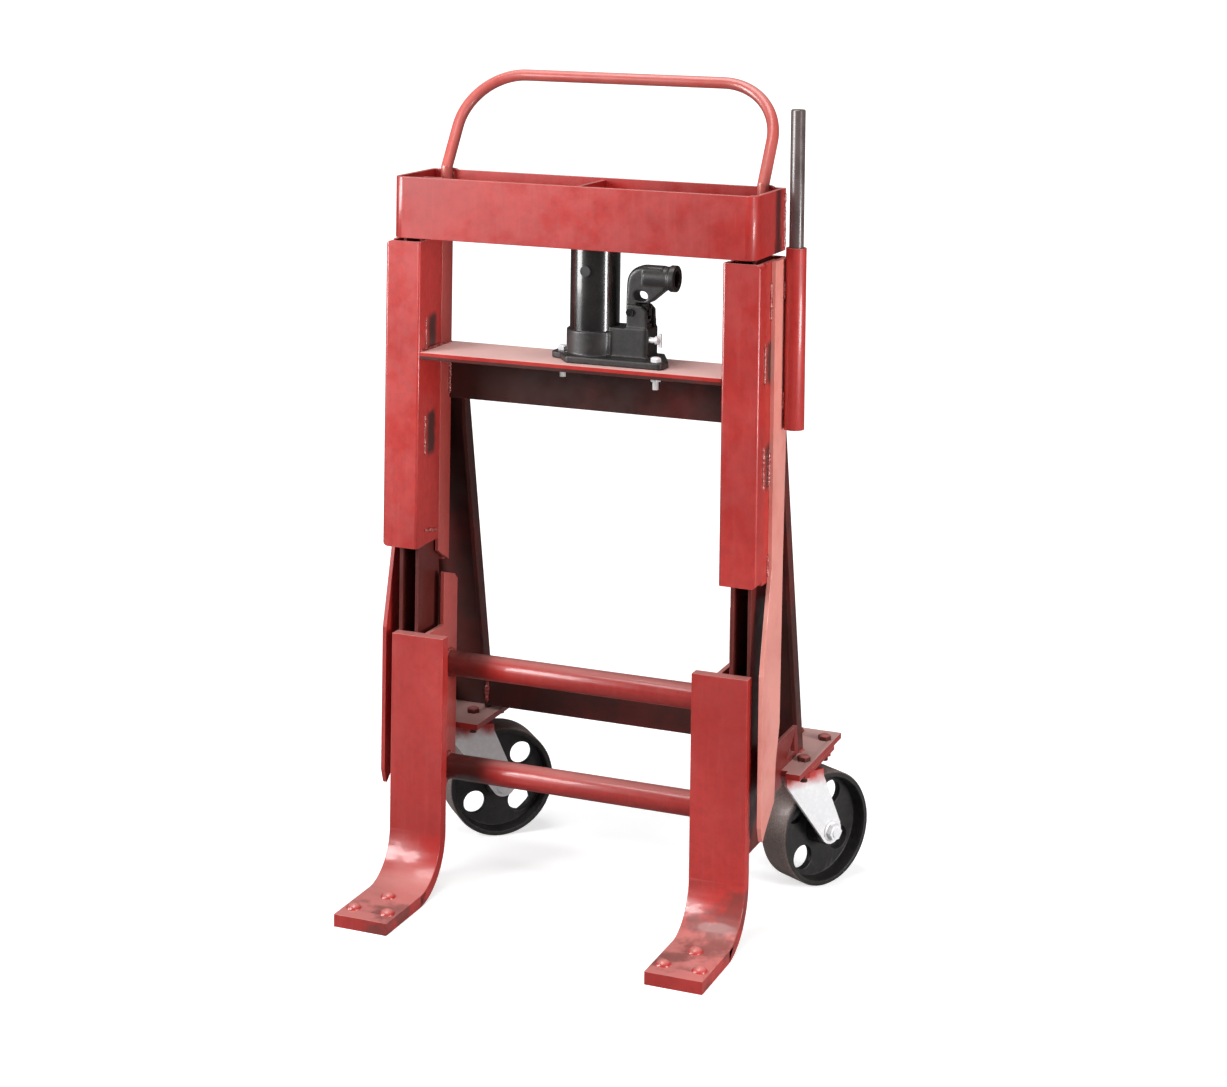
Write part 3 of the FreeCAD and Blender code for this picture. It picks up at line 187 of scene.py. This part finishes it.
# ---- materials ------------------------------------------------------------------------
def red_enamel(name="red_enamel", painted_shade=0.0, dust_and_sheen=0.0, top_sheen=0.30, scorches=(), lip=None,
               smear_top=None, dark_ends=None):
    """Brushed gloss enamel, darkened by scorches and by painted shade on faces that do not face up,
    made paler by dust and painted sheen, and given a painted sheen on faces that face up.

    A lip, given by its rear Y and lowest Z, is kept free of the painted shade; dark smears lie below smear_top;
    a cross tube darkens towards its ends, from dark_ends outwards.
    """
    g = Graph(name)
    broad = g.noise(5.0, 4.0)
    mottle = g.noise(95.0, 5.0, 0.65)
    streaks = g.noise(14.0, 4.0, 0.6, g.stretched((9.0, 9.0, 0.7)))
    colour = g.blend(g.ramp(broad, 0.35, 0.68), (0.40, 0.020, 0.016), (0.52, 0.034, 0.028))
    colour = g.blend(g.ramp(mottle, 0.38, 0.68, 0.0, 0.30), colour, (0.28, 0.014, 0.012))
    colour = g.blend(g.ramp(streaks, 0.48, 0.75, 0.0, 0.16), colour, (0.54, 0.085, 0.072))
    # pale patches: partly dust, partly a painted sheen standing in for the light on lit faces
    if dust_and_sheen:
        patchy = g.math("MULTIPLY", g.ramp(g.noise(9.0, 5.0, 0.6), 0.25, 0.6, 0.6, 1.0), dust_and_sheen)
        colour = g.blend(patchy, colour, (0.86, 0.36, 0.30))
    # painted sheen: faces that face up are blended towards pale pink, standing in for the light they catch
    colour = g.blend(g.math("MULTIPLY", g.facing_up(), top_sheen), colour, (0.82, 0.54, 0.50))
    # painted shade: faces that do not face up are darkened to near black, standing in for the shade they lie in
    if painted_shade:
        upright = g.math("SUBTRACT", 1.0, g.facing_up())
        shade_share = g.math("MULTIPLY", g.ramp(g.noise(7.0, 5.0, 0.6), 0.22, 0.55, 0.75, 1.0), painted_shade)
        if lip is not None:
            behind = g.ramp(g.split(g.place)[1], lip[0], lip[0] + 0.002)
            below = g.ramp(g.split(g.place)[2], lip[1], lip[1] - 0.001)
            shade_share = g.math("MULTIPLY", shade_share, g.math("MAXIMUM", behind, below))
        colour = g.blend(g.math("MULTIPLY", shade_share, upright), colour, (0.034, 0.018, 0.015))
    if smear_top is not None:
        low_down = g.ramp(g.split(g.place)[2], smear_top, smear_top - 0.035)
        broken = g.ramp(g.noise(13.0, 4.0, 0.6), 0.50, 0.62, 0.0, 0.62)
        colour = g.blend(g.math("MULTIPLY", low_down, broken), colour, (0.085, 0.026, 0.020))
    if dark_ends is not None:
        outwards = g.ramp(g.math("ABSOLUTE", g.split(g.place)[0]), dark_ends, dark_ends + 0.045)
        broken = g.ramp(g.noise(18.0, 4.0, 0.6), 0.30, 0.60, 0.55, 0.95)
        colour = g.blend(g.math("MULTIPLY", outwards, broken), colour, (0.060, 0.018, 0.014))
    for spot in scorches:
        colour = g.blend(g.patch(*spot), colour, (0.030, 0.012, 0.010))
    rubbed = g.math("MULTIPLY", g.edges(), g.ramp(g.noise(70.0, 5.0, 0.65), 0.40, 0.60))
    colour = g.blend(g.math("MULTIPLY", rubbed, 0.60 - 0.25 * painted_shade), colour, (0.66, 0.16, 0.13))
    chip = g.math("MULTIPLY", g.edges(0.0011), g.ramp(g.noise(170.0, 4.0, 0.7), 0.62, 0.68))
    colour = g.blend(chip, colour, (0.20, 0.17, 0.16))
    g.set(Base_Color=colour, Roughness=g.ramp(g.noise(26.0, 5.0, 0.6), 0.3, 0.72, 0.30, 0.50))
    g.set(Coat_Weight=0.35 - 0.32 * painted_shade, Coat_Roughness=0.12, Metallic=g.math("MULTIPLY", chip, 0.7))
    g.set(Specular_IOR_Level=0.5 - 0.3 * painted_shade)
    flow = g.bump(streaks, 0.08, 0.0006)
    peel = g.bump(g.noise(230.0, 2.0), 0.20, 0.00025, flow)
    g.set(Normal=g.bump(g.noise(900.0, 2.0), 0.12, 0.00012, peel))
    return g.material


def weld_metal():
    """Painted weld bead: red, with scattered pale pink painted highlights standing in for glints on the crests."""
    g = Graph("painted_weld")
    # painted highlight: scattered pale pink spots stand in for glints on the bead
    painted_glint = g.ramp(g.noise(260.0, 4.0, 0.6), 0.42, 0.66)
    colour = g.blend(g.math("MULTIPLY", painted_glint, 0.55), (0.28, 0.016, 0.014), (0.70, 0.28, 0.24))
    g.set(Base_Color=colour, Roughness=0.30, Coat_Weight=0.5, Coat_Roughness=0.1)
    g.set(Normal=g.bump(g.noise(600.0, 3.0), 0.25, 0.0003))
    return g.material


def black_enamel(name="black_enamel", low=(0.008, 0.007, 0.007), high=(0.016, 0.013, 0.012), coat=0.8):
    g = Graph(name)
    patch = g.noise(22.0, 4.0)
    colour = g.blend(g.ramp(patch, 0.35, 0.7), low, high)
    rubbed = g.math("MULTIPLY", g.edges(0.0012), g.ramp(g.noise(120.0, 4.0, 0.65), 0.46, 0.62))
    colour = g.blend(rubbed, colour, (0.16, 0.145, 0.14))
    g.set(Base_Color=colour, Roughness=g.ramp(patch, 0.3, 0.7, 0.20, 0.30), Coat_Weight=coat, Coat_Roughness=0.06)
    g.set(Normal=g.bump(g.noise(420.0, 3.0), 0.16, 0.00025))
    return g.material


def cast_black():
    g = Graph("cast_black")
    grain = g.noise(520.0, 4.0, 0.6)
    lumps = g.noise(90.0, 3.0)
    colour = g.blend(g.ramp(lumps, 0.35, 0.7), (0.010, 0.008, 0.008), (0.024, 0.019, 0.018))
    rubbed = g.math("MULTIPLY", g.edges(0.0016), g.ramp(g.noise(140.0, 4.0, 0.65), 0.45, 0.62))
    colour = g.blend(rubbed, colour, (0.09, 0.08, 0.075))
    g.set(Base_Color=colour, Roughness=g.ramp(grain, 0.3, 0.7, 0.38, 0.58), Coat_Weight=0.12)
    g.set(Normal=g.bump(grain, 0.35, 0.0004, g.bump(lumps, 0.25, 0.0008)))
    return g.material


def zinc_steel(name="zinc_steel", overspray_from=None):
    """Bright zinc plate; above a height the red paint has drifted onto it."""
    g = Graph(name)
    spangle = g.cells(160.0)
    cloud = g.noise(40.0, 4.0)
    colour = g.blend(g.ramp(spangle, 0.1, 0.7), (0.93, 0.92, 0.93), (0.86, 0.855, 0.87))
    colour = g.blend(g.ramp(cloud, 0.55, 0.75, 0.0, 0.3), colour, (0.66, 0.63, 0.64))
    metal = 0.15
    rough = g.ramp(cloud, 0.3, 0.7, 0.30, 0.46)
    if overspray_from is not None:
        wander = g.math("MULTIPLY", g.math("SUBTRACT", g.noise(45.0, 3.0), 0.5), 0.022)
        height = g.math("ADD", g.split(g.place)[2], wander)
        drift = g.ramp(height, overspray_from, overspray_from + 0.020)
        colour = g.blend(drift, colour, (0.48, 0.035, 0.030))
        metal = g.ramp(drift, 0.0, 1.0, 0.15, 0.0)
        rough = g.math("ADD", rough, g.math("MULTIPLY", drift, 0.12))
    g.set(Base_Color=colour, Metallic=metal, Roughness=rough)
    g.set(Normal=g.bump(g.noise(300.0, 3.0), 0.10, 0.0002))
    return g.material


def wheel_iron(side):
    """Black painted casting whose tread has been rubbed down to brown-grey iron."""
    g = Graph(side + "_wheel_iron")
    joint = JOINTS[side + "_wheel_spin"]
    axle = Vector(joint["axis"]).normalized()
    offset = g.vector("SUBTRACT", g.place, tuple(joint["pos_m"]))
    along = g.vector("DOT_PRODUCT", offset, tuple(axle))
    radius = g.math("SQRT", g.math("SUBTRACT", g.math("POWER", g.vector("LENGTH", offset), 2.0),
                                   g.math("POWER", along, 2.0)))
    low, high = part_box(side + "_caster_wheel")
    tread = g.ramp(radius, (high.z - low.z) / 2 - 0.0022, (high.z - low.z) / 2 - 0.0006)
    grain = g.noise(430.0, 5.0, 0.6)
    scuff = g.noise(60.0, 5.0, 0.7)
    colour = g.blend(g.ramp(scuff, 0.35, 0.7), (0.010, 0.009, 0.009), (0.022, 0.019, 0.018))
    rubbed = g.math("MULTIPLY", g.edges(0.0018), g.ramp(scuff, 0.40, 0.62))
    colour = g.blend(rubbed, colour, (0.075, 0.062, 0.058))
    worn = g.blend(g.ramp(grain, 0.3, 0.7), (0.155, 0.105, 0.092), (0.27, 0.205, 0.185))
    colour = g.blend(g.math("MULTIPLY", tread, g.ramp(scuff, 0.2, 0.5, 0.65, 1.0)), colour, worn)
    g.set(Base_Color=colour, Roughness=g.ramp(grain, 0.3, 0.7, 0.42, 0.62), Coat_Weight=0.08)
    g.set(Normal=g.bump(grain, 0.40, 0.0004, g.bump(scuff, 0.2, 0.0008)))
    return g.material


def machined(name, colour_low, colour_high, rough):
    g = Graph(name)
    brushed = g.noise(700.0, 3.0, 0.5, g.stretched((1.0, 1.0, 0.04)))
    g.set(Base_Color=g.blend(g.ramp(g.noise(35.0, 4.0), 0.35, 0.7), colour_low, colour_high))
    g.set(Metallic=1.0, Roughness=g.ramp(brushed, 0.3, 0.7, rough, rough + 0.14))
    g.set(Normal=g.bump(brushed, 0.08, 0.0002))
    return g.material


def seal_rubber():
    g = Graph("seal_rubber")
    g.set(Base_Color=g.blend(g.noise(90.0, 4.0), (0.012, 0.012, 0.012), (0.03, 0.03, 0.03)))
    g.set(Roughness=g.ramp(g.noise(60.0), 0.3, 0.7, 0.55, 0.75))
    g.set(Normal=g.bump(g.noise(800.0, 3.0), 0.15, 0.0002))
    return g.material


# ---- where things are -----------------------------------------------------------------
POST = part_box("right_guide_post")
LEFT_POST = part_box("left_guide_post")
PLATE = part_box("right_side_plate")
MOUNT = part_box("right_caster_mount")
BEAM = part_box("beam_front_channel")
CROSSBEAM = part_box("jack_crossbeam")
STITCHES = ((0.576, 0.633), (0.710, 0.764))     # heights of the stitch welds on the posts
SEAM_Y = POST[0].y + 0.022                       # joint between a post's bar and channel

FORK_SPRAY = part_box("left_caster_fork")[1].z - 0.022
SCORCHES = [(SEAM_Y + 0.010, SEAM_Y + 0.032, low, high) for low, high in STITCHES]
RED = red_enamel()
TOE_RED = red_enamel("toe_enamel", smear_top=0.115)
POST_RED = red_enamel("post_enamel", scorches=SCORCHES)
# painted sheen: the outer side plates are made pale, standing in for the light on their faces
SIDE_RED = red_enamel("outer_plate_enamel", dust_and_sheen=0.85)
GRIP_RED = red_enamel("grip_enamel", dust_and_sheen=0.24)
TUBE_RED = red_enamel("cross_tube_enamel", dark_ends=0.135)
# painted sheen: the rear rim's top is made pale, standing in for the light it catches
RIM_RED = red_enamel("rear_rim_enamel", top_sheen=0.95)
# painted shade: the back pieces, the columns, the crossbeam web and the mount are darkened, standing in for the
# shade they lie in; their tops also get a painted sheen
BACK_RED = red_enamel("shaded_enamel", painted_shade=0.94)
COLUMN_RED = red_enamel("column_enamel", painted_shade=0.80)
CROSSBEAM_RED = red_enamel("crossbeam_enamel", painted_shade=0.95, top_sheen=0.92,
                            lip=(CROSSBEAM[0].y + 0.001, CROSSBEAM[1].z - 0.0045))
MOUNT_RED = red_enamel("mount_enamel", painted_shade=0.20, top_sheen=0.80)
# painted sheen: the strips are made slightly pale, standing in for the light on their faces
STRIP_RED = red_enamel("strip_enamel", dust_and_sheen=0.16)
BLACK = black_enamel()
CAST = cast_black()
ROD = black_enamel("worn_rod_enamel", (0.075, 0.052, 0.050), (0.120, 0.086, 0.082), 0.05)
ZINC = zinc_steel()
SPRAYED = zinc_steel("zinc_with_red_overspray", FORK_SPRAY)
STEEL = machined("oiled_steel", (0.36, 0.355, 0.35), (0.55, 0.545, 0.54), 0.24)
CHROME = machined("polished_rod", (0.78, 0.78, 0.80), (0.86, 0.86, 0.88), 0.08)
RUBBER = seal_rubber()
WELD = weld_metal()

BY_SLOT = {
    "red_enamel": RED, "black_enamel": BLACK, "zinc_plated_steel": ZINC,
    "polished_rod": CHROME, "seal_rubber": RUBBER, "plain_steel": STEEL,
}
BY_NODE = {
    "jack_base": CAST, "pump_socket": CAST, "jack_top_nut": CAST, "ram_saddle": CAST,
    "caster_plate_bolts": BACK_RED, "caster_plate_nuts": MOUNT_RED, "toe_studs": RED,
    "jack_crossbeam": CROSSBEAM_RED, "rear_crossmember": BACK_RED, "rear_masts": STRIP_RED,
    # painted shade also darkens the gussets
    "caster_gussets": red_enamel("gusset_enamel", painted_shade=0.62), "tube_plates": STRIP_RED,
    "right_side_plate": SIDE_RED, "pump_barrel": CAST, "handle_holder_brackets": BACK_RED,
    "grip_handle": GRIP_RED, "beam_rear_plate": RIM_RED, "upper_cross_tube": TUBE_RED,
    "lower_cross_tube": TUBE_RED, "pump_handle_rod": ROD, "fulcrum_pin": BLACK, "pump_plunger": BLACK, "plunger_pin": BLACK,
}
for side in ("left", "right"):
    BY_NODE[side + "_caster_wheel"] = wheel_iron(side)
    BY_NODE[side + "_caster_fork"] = SPRAYED
    BY_NODE[side + "_caster_plate"] = MOUNT_RED
    BY_NODE[side + "_caster_mount"] = MOUNT_RED
    BY_NODE[side + "_guide_post"] = POST_RED
    BY_NODE[side + "_diagonal_brace"] = BACK_RED
    BY_NODE[side + "_column"] = COLUMN_RED
    BY_NODE[side + "_toe_bar"] = TOE_RED
CASTINGS = ("jack_base", "pump_socket")
LEFT_SHARP = ("left_swivel_bearing", "right_swivel_bearing", "jack_reservoir")


def soften_plates(node):
    weld = node.modifiers.new("joined", "WELD")
    weld.merge_threshold = 0.000002
    bevel = node.modifiers.new("soft_edges", "BEVEL")
    bevel.width = EDGE_SOFTNESS
    bevel.segments = 2
    bevel.limit_method = "ANGLE"
    bevel.angle_limit = math.radians(38)
    bevel.use_clamp_overlap = True
    bevel.harden_normals = True


def soften_casting(node):
    weld = node.modifiers.new("joined", "WELD")
    weld.merge_threshold = 0.000002
    grain = node.modifiers.new("cast_skin", "REMESH")
    grain.mode = "VOXEL"
    grain.voxel_size = CAST_GRAIN
    grain.use_smooth_shade = True
    smooth = node.modifiers.new("rounded", "SMOOTH")
    smooth.factor = 0.5
    smooth.iterations = 4


def finish_cad_nodes():
    """Gives every CAD node its material, and softened edges to all but those left sharp."""
    for name, node in NODES.items():
        material = BY_NODE.get(name) or BY_SLOT[SLOT_OF[name]]
        node.data.materials.clear()
        node.data.materials.append(material)
        if name in CASTINGS:
            soften_casting(node)
        elif name not in LEFT_SHARP:
            soften_plates(node)


# ---- weld beads ---------------------------------------------------------------------------
def bead(path, upward, radius=BEAD, closed=False, phase=0.0):
    """Vertices and faces of a rippled bead along a dense path."""
    around = 8
    rings = []
    count = len(path)
    length = 0.0
    for i, point in enumerate(path):
        after = path[(i + 1) % count] if closed or i + 1 < count else point
        before = path[i - 1] if closed or i else point
        along = (after - before).normalized()
        side = along.cross(upward).normalized()
        rise = side.cross(along)
        if i:
            length += (point - path[i - 1]).length
        ripple = 0.80 + 0.20 * abs(math.sin(math.pi * length / BEAD_PITCH + phase))
        wobble = 0.10 * math.sin(length * 310.0 + phase) + 0.07 * math.sin(length * 830.0 + 2 * phase)
        ends = 1.0
        if not closed:
            nearest = min(i, count - 1 - i) * BEAD_STEP
            ends = math.sqrt(min(1.0, nearest / (1.5 * radius) + 0.05))
        size = radius * ends * (ripple + wobble)
        for k in range(around):
            turn = 2 * math.pi * k / around
            rings.append(point + size * (math.cos(turn) * side + 0.8 * math.sin(turn) * rise))
    spans = count if closed else count - 1
    faces = []
    for i in range(spans):
        first = i * around
        second = ((i + 1) % count) * around
        for k in range(around):
            faces.append((first + k, first + (k + 1) % around,
                          second + (k + 1) % around, second + k))
    if not closed:
        faces.append(tuple(range(around))[::-1])
        faces.append(tuple((count - 1) * around + k for k in range(around)))
    return rings, faces


def line_path(start, end):
    start, end = Vector(start), Vector(end)
    steps = max(3, int((end - start).length / BEAD_STEP))
    return [start.lerp(end, i / steps) for i in range(steps + 1)]


def ring_path(centre, axis, radius):
    axis = Vector(axis)
    first = axis.orthogonal().normalized()
    second = axis.cross(first)
    steps = max(12, int(2 * math.pi * radius / BEAD_STEP))
    turns = [2 * math.pi * i / steps for i in range(steps)]
    return [Vector(centre) + radius * (math.cos(t) * first + math.sin(t) * second) for t in turns]


def mesh_piece(name, points, faces, material, body, smooth=True):
    """A new mesh object with one material that rides on a body."""
    mesh = bpy.data.meshes.new(name)
    mesh.from_pydata([tuple(p) for p in points], [], faces)
    mesh.polygons.foreach_set("use_smooth", [smooth] * len(mesh.polygons))
    mesh.materials.append(material)
    mesh.update()
    piece = bpy.data.objects.new(name, mesh)
    bpy.context.scene.collection.objects.link(piece)
    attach(piece, body)
    return piece


def welds(name, body, lines=(), rings=(), radius=BEAD):
    """One object holding several beads; each line is (start, end, upward)."""
    points, faces = [], []
    beads = [(line_path(a, b), Vector(up), False) for a, b, up in lines]
    beads += [(ring_path(c, axis, r), Vector(axis), True) for c, axis, r in rings]
    for number, (path, upward, closed) in enumerate(beads):
        more, quads = bead(path, upward, radius, closed, 1.7 * number)
        start = len(points)
        points += more
        faces += [tuple(start + k for k in quad) for quad in quads]
    mesh_piece(name, points, faces, WELD, body)


def both_sides(lines):
    """The lines and their mirror images about the middle plane of the frame."""
    middle = (POST[1].x + LEFT_POST[0].x) / 2
    flip = lambda p: (2 * middle - p[0], p[1], p[2])
    turned = [(flip(a), flip(b), (-up[0], up[1], up[2])) for a, b, up in lines]
    return list(lines) + turned


def frame_welds():
    inner, outer = POST[0].x, POST[1].x
    front = POST[0].y
    seams = []
    for low, high in STITCHES:
        seams.append(((inner + 0.0008, SEAM_Y, low), (inner + 0.0008, SEAM_Y, high), (-1, 0, 0)))
        seams.append(((outer, SEAM_Y, low), (outer, SEAM_Y, high), (1, 0, 0)))
    foot = POST[0].z + 0.012
    seams.append(((inner + 0.001, front + 0.026, foot + 0.008), (inner + 0.001, front + 0.064, foot), (-1, 0, 0)))
    welds("post_stitch_welds", "base_frame", both_sides(seams))

    lap = PLATE[0].y + 0.029
    laps = [((outer, lap, low), (outer, lap, high), (1, 0, 0))
            for low, high in ((0.458, 0.492), (0.575, 0.625), (0.790, 0.840))]
    welds("outer_plate_welds", "base_frame", both_sides(laps), radius=BEAD * 1.1)

    low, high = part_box("jack_crossbeam")
    corner = high.x
    ends = [
        ((corner, low.y + 0.004, high.z), (corner, high.y - 0.004, high.z), (0, 0, 1)),
        ((corner, high.y - 0.010, low.z + 0.004), (corner, high.y - 0.010, high.z - 0.012), (0, -1, 0)),
    ]
    welds("crossbeam_welds", "base_frame", both_sides(ends), radius=BEAD * 1.15)

    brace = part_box("right_diagonal_brace")
    foot = [
        ((brace[0].x + 0.004, brace[1].y, brace[0].z), (brace[1].x - 0.004, brace[1].y, brace[0].z), (0, 0, 1)),
        ((brace[1].x, brace[1].y - 0.020, brace[0].z), (brace[1].x, brace[1].y, brace[0].z), (0, 0, 1)),
    ]
    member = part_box("rear_crossmember")
    foot.append(((member[1].x, member[0].y, member[0].z + 0.004),
                 (member[1].x, member[0].y, member[1].z - 0.004), (0, -1, 0)))
    welds("brace_welds", "base_frame", both_sides(foot), radius=BEAD * 1.2)

    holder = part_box("handle_holder_tube")
    straps = []
    for z in (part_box("handle_holder_brackets")[0].z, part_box("handle_holder_brackets")[1].z - 0.030):
        straps.append(((PLATE[1].x + 0.0005, (holder[0].y + holder[1].y) / 2 - 0.007, z + 0.003),
                       (PLATE[1].x + 0.0005, (holder[0].y + holder[1].y) / 2 - 0.007, z + 0.027), (0, -1, 0)))
    welds("holder_welds", "base_frame", straps)


def carriage_welds():
    low, high = BEAM
    back = high.y
    corners = [((high.x, back, low.z + 0.003), (high.x, back, high.z - 0.003), (1, 0, 0))]
    welds("beam_corner_welds", "lift_carriage", both_sides(corners))

    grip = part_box("grip_handle")
    radius = (grip[1].x - grip[0].x) / 2
    middle = (grip[1].x + grip[0].x) / 2
    tube = 0.008
    feet = []
    for side in (-1, 1):
        x = middle + side * (radius - tube)
        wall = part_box("beam_rear_plate")[0].y
        for edge in (-1, 1):
            feet.append(((x + edge * tube * 0.85, wall - 0.001, high.z - 0.040),
                         (x + edge * tube * 0.85, wall - 0.001, high.z - 0.002), (0, -1, 0)))
        feet.append(((x - 0.013, wall + 0.003, high.z), (x + 0.013, wall + 0.003, high.z), (0, 0, 1)))
    welds("grip_foot_welds", "lift_carriage", feet)

    ends = []
    for name in ("upper_cross_tube", "lower_cross_tube"):
        low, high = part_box(name)
        centre_y, centre_z = (low.y + high.y) / 2, (low.z + high.z) / 2
        for x in (low.x + 0.001, high.x - 0.001):
            ends.append(((x, centre_y, centre_z), (1, 0, 0), (high.z - low.z) / 2 + 0.0005))
    welds("cross_tube_welds", "lift_carriage", rings=ends, radius=BEAD * 1.1)

    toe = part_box("right_toe_bar")
    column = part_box("right_column")
    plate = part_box("tube_plates")
    joints = []
    for low, high in ((0.300, 0.334), (0.215, 0.255), (0.120, 0.165)):
        joints.append(((column[1].x, toe[1].y, low), (column[1].x, toe[1].y, high), (1, 0, 0)))
        joints.append(((plate[1].x - 0.006, toe[1].y, low), (plate[1].x - 0.006, toe[1].y, high), (-1, 0, 0)))
    welds("toe_bar_welds", "lift_carriage", both_sides(joints))


def washers():
    """Plain washers under the axle nuts, turned with the fork."""
    for side in ("left", "right"):
        joint = JOINTS[side + "_wheel_spin"]
        axle = Vector(joint["axis"]).normalized()
        centre = Vector(joint["pos_m"]) - axle * (FORK_FACE + 0.0006)
        path = ring_path(centre, axle, 0.0095)
        points, faces = [], []
        section = ((0.0066, 0.0), (0.0132, 0.0), (0.0136, 0.0004), (0.0132, 0.0016), (0.0066, 0.0016))
        for point in path:
            outward = (point - centre).normalized()
            for reach, lift in section:
                points.append(centre + outward * reach - axle * (lift - 0.0006))
        size = len(section)
        for i in range(len(path)):
            j = (i + 1) % len(path)
            for k in range(size):
                faces.append((i * size + k, i * size + (k + 1) % size, j * size + (k + 1) % size, j * size + k))
        mesh_piece(side + "_axle_washer", points, faces, ZINC, side + "_swivel")


FORK_FACE = 0.0335          # from the wheel's middle to the outside of a fork leg


# ---- stage ------------------------------------------------------------------------------
PAPER_BOUNCE = 0.34        # share of the floor's brightness that reaches the object
PAPER_GLOW = 0.60
ROOM_SEEN = 0.34
ROOM_FILL = 0.17


def floor():
    """A pale sheet that runs back under the stand and curves up behind it."""
    steps = 24
    bend = 1.5
    back = 3.0
    section = [(-9.0, 0.0), (back, 0.0)]
    section += [(back + bend * math.sin(t), bend - bend * math.cos(t))
                for t in (math.pi / 2 * i / steps for i in range(1, steps + 1))]
    section.append((back + bend, 7.0))
    mesh = bpy.data.meshes.new("studio_sheet")
    points = [(x, y, z) for y, z in section for x in (-9.0, 9.0)]
    faces = [(2 * i, 2 * i + 1, 2 * i + 3, 2 * i + 2) for i in range(len(section) - 1)]
    mesh.from_pydata(points, [], faces)
    mesh.polygons.foreach_set("use_smooth", [True] * len(faces))
    sheet = bpy.data.objects.new("studio_sheet", mesh)
    bpy.context.scene.collection.objects.link(sheet)
    g = Graph("studio_paper")
    shade = g.blend(g.noise(3.0), (0.80, 0.80, 0.80), (0.83, 0.83, 0.83))
    path = g.tree.nodes.new("ShaderNodeLightPath")
    bounced = g.math("MAXIMUM", path.outputs["Is Diffuse Ray"], path.outputs["Is Glossy Ray"])
    dimmed = g.math("MULTIPLY", bounced, 1.0 - PAPER_BOUNCE)
    g.set(Base_Color=g.blend(dimmed, shade, (0.0, 0.0, 0.0)), Roughness=0.9)
    g.set(Emission_Color=(1.0, 1.0, 1.0, 1.0))
    glow = g.ramp(g.vector("LENGTH", g.place), 0.9, 2.2, PAPER_GLOW, 1.0)
    g.set(Emission_Strength=g.math("MULTIPLY", path.outputs["Is Camera Ray"], glow))
    mesh.materials.append(g.material)


def area_light(name, place, target, size, power, tint=(1.0, 1.0, 1.0)):
    data = bpy.data.lights.new(name, "AREA")
    data.shape = "RECTANGLE"
    data.size, data.size_y = size
    data.energy = power
    data.color = tint
    light = bpy.data.objects.new(name, data)
    light.location = place
    light.rotation_euler = (Vector(target) - Vector(place)).to_track_quat("-Z", "Y").to_euler()
    bpy.context.scene.collection.objects.link(light)
    return light


def studio_light():
    """A white room that shows in reflections but fills the shadows only weakly."""
    world = bpy.data.worlds.new("studio")
    bpy.context.scene.world = world
    world.use_nodes = True
    nodes, links = world.node_tree.nodes, world.node_tree.links
    back = nodes["Background"]
    back.inputs[0].default_value = (1.0, 1.0, 1.0, 1.0)
    path = nodes.new("ShaderNodeLightPath")
    dim = nodes.new("ShaderNodeMapRange")
    dim.inputs["To Min"].default_value = ROOM_SEEN
    dim.inputs["To Max"].default_value = ROOM_FILL
    links.new(path.outputs["Is Diffuse Ray"], dim.inputs["Value"])
    strength = nodes.new("ShaderNodeMath")
    strength.operation = "MAXIMUM"
    links.new(dim.outputs[0], strength.inputs[0])
    links.new(path.outputs["Is Camera Ray"], strength.inputs[1])
    links.new(strength.outputs[0], back.inputs[1])
    middle = (0.0, 0.0, 0.5)
    area_light("key", (-1.15, -1.4, 1.25), middle, (0.7, 0.7), 27.0)
    area_light("top", (-0.3, -0.5, 3.2), middle, (1.6, 1.6), 58.0)
    card = area_light("card", (-2.25, -1.50, 0.98), middle, (1.2, 1.2), 70.0)
    card.visible_diffuse = False
    area_light("low", (1.9, -0.5, 0.55), (0.25, 0.1, 0.2), (0.5, 0.5), 24.0)
    area_light("side", (3.0, -1.6, 1.7), middle, (0.8, 2.0), 26.0)


def camera():
    """A level camera with a shifted lens at the place the stand was looked at from."""
    data = bpy.data.cameras.new("view")
    data.lens = VIEW_LENS
    data.clip_end = 50.0
    turn, tip, roll = (math.radians(a) for a in (VIEW_AZIMUTH, VIEW_PITCH, VIEW_ROLL))
    right = Vector((math.cos(turn), math.sin(turn), 0.0))
    ahead = Vector((-math.sin(turn) * math.cos(tip), math.cos(turn) * math.cos(tip), -math.sin(tip)))
    up = right.cross(ahead)
    level_right = math.cos(roll) * right + math.sin(roll) * up
    level_up = -math.sin(roll) * right + math.cos(roll) * up
    axes = Matrix((level_right, level_up, -ahead)).transposed()
    view = bpy.data.objects.new("view", data)
    view.matrix_world = Matrix.Translation(VIEW_PLACE) @ axes.to_4x4()
    bpy.context.scene.collection.objects.link(view)
    bpy.context.scene.camera = view
    shift = data.driver_add("shift_y").driver
    height = shift.variables.new()
    height.name = "height"
    height.targets[0].id = view
    height.targets[0].data_path = "location[2]"
    shift.expression = f"{VIEW_SHIFT} if abs(height - {VIEW_PLACE[2]}) < 0.0005 else 0.0"


finish_cad_nodes()
frame_welds()
carriage_welds()
washers()
floor()
studio_light()
camera()
bpy.context.scene.view_settings.view_transform = "Standard"
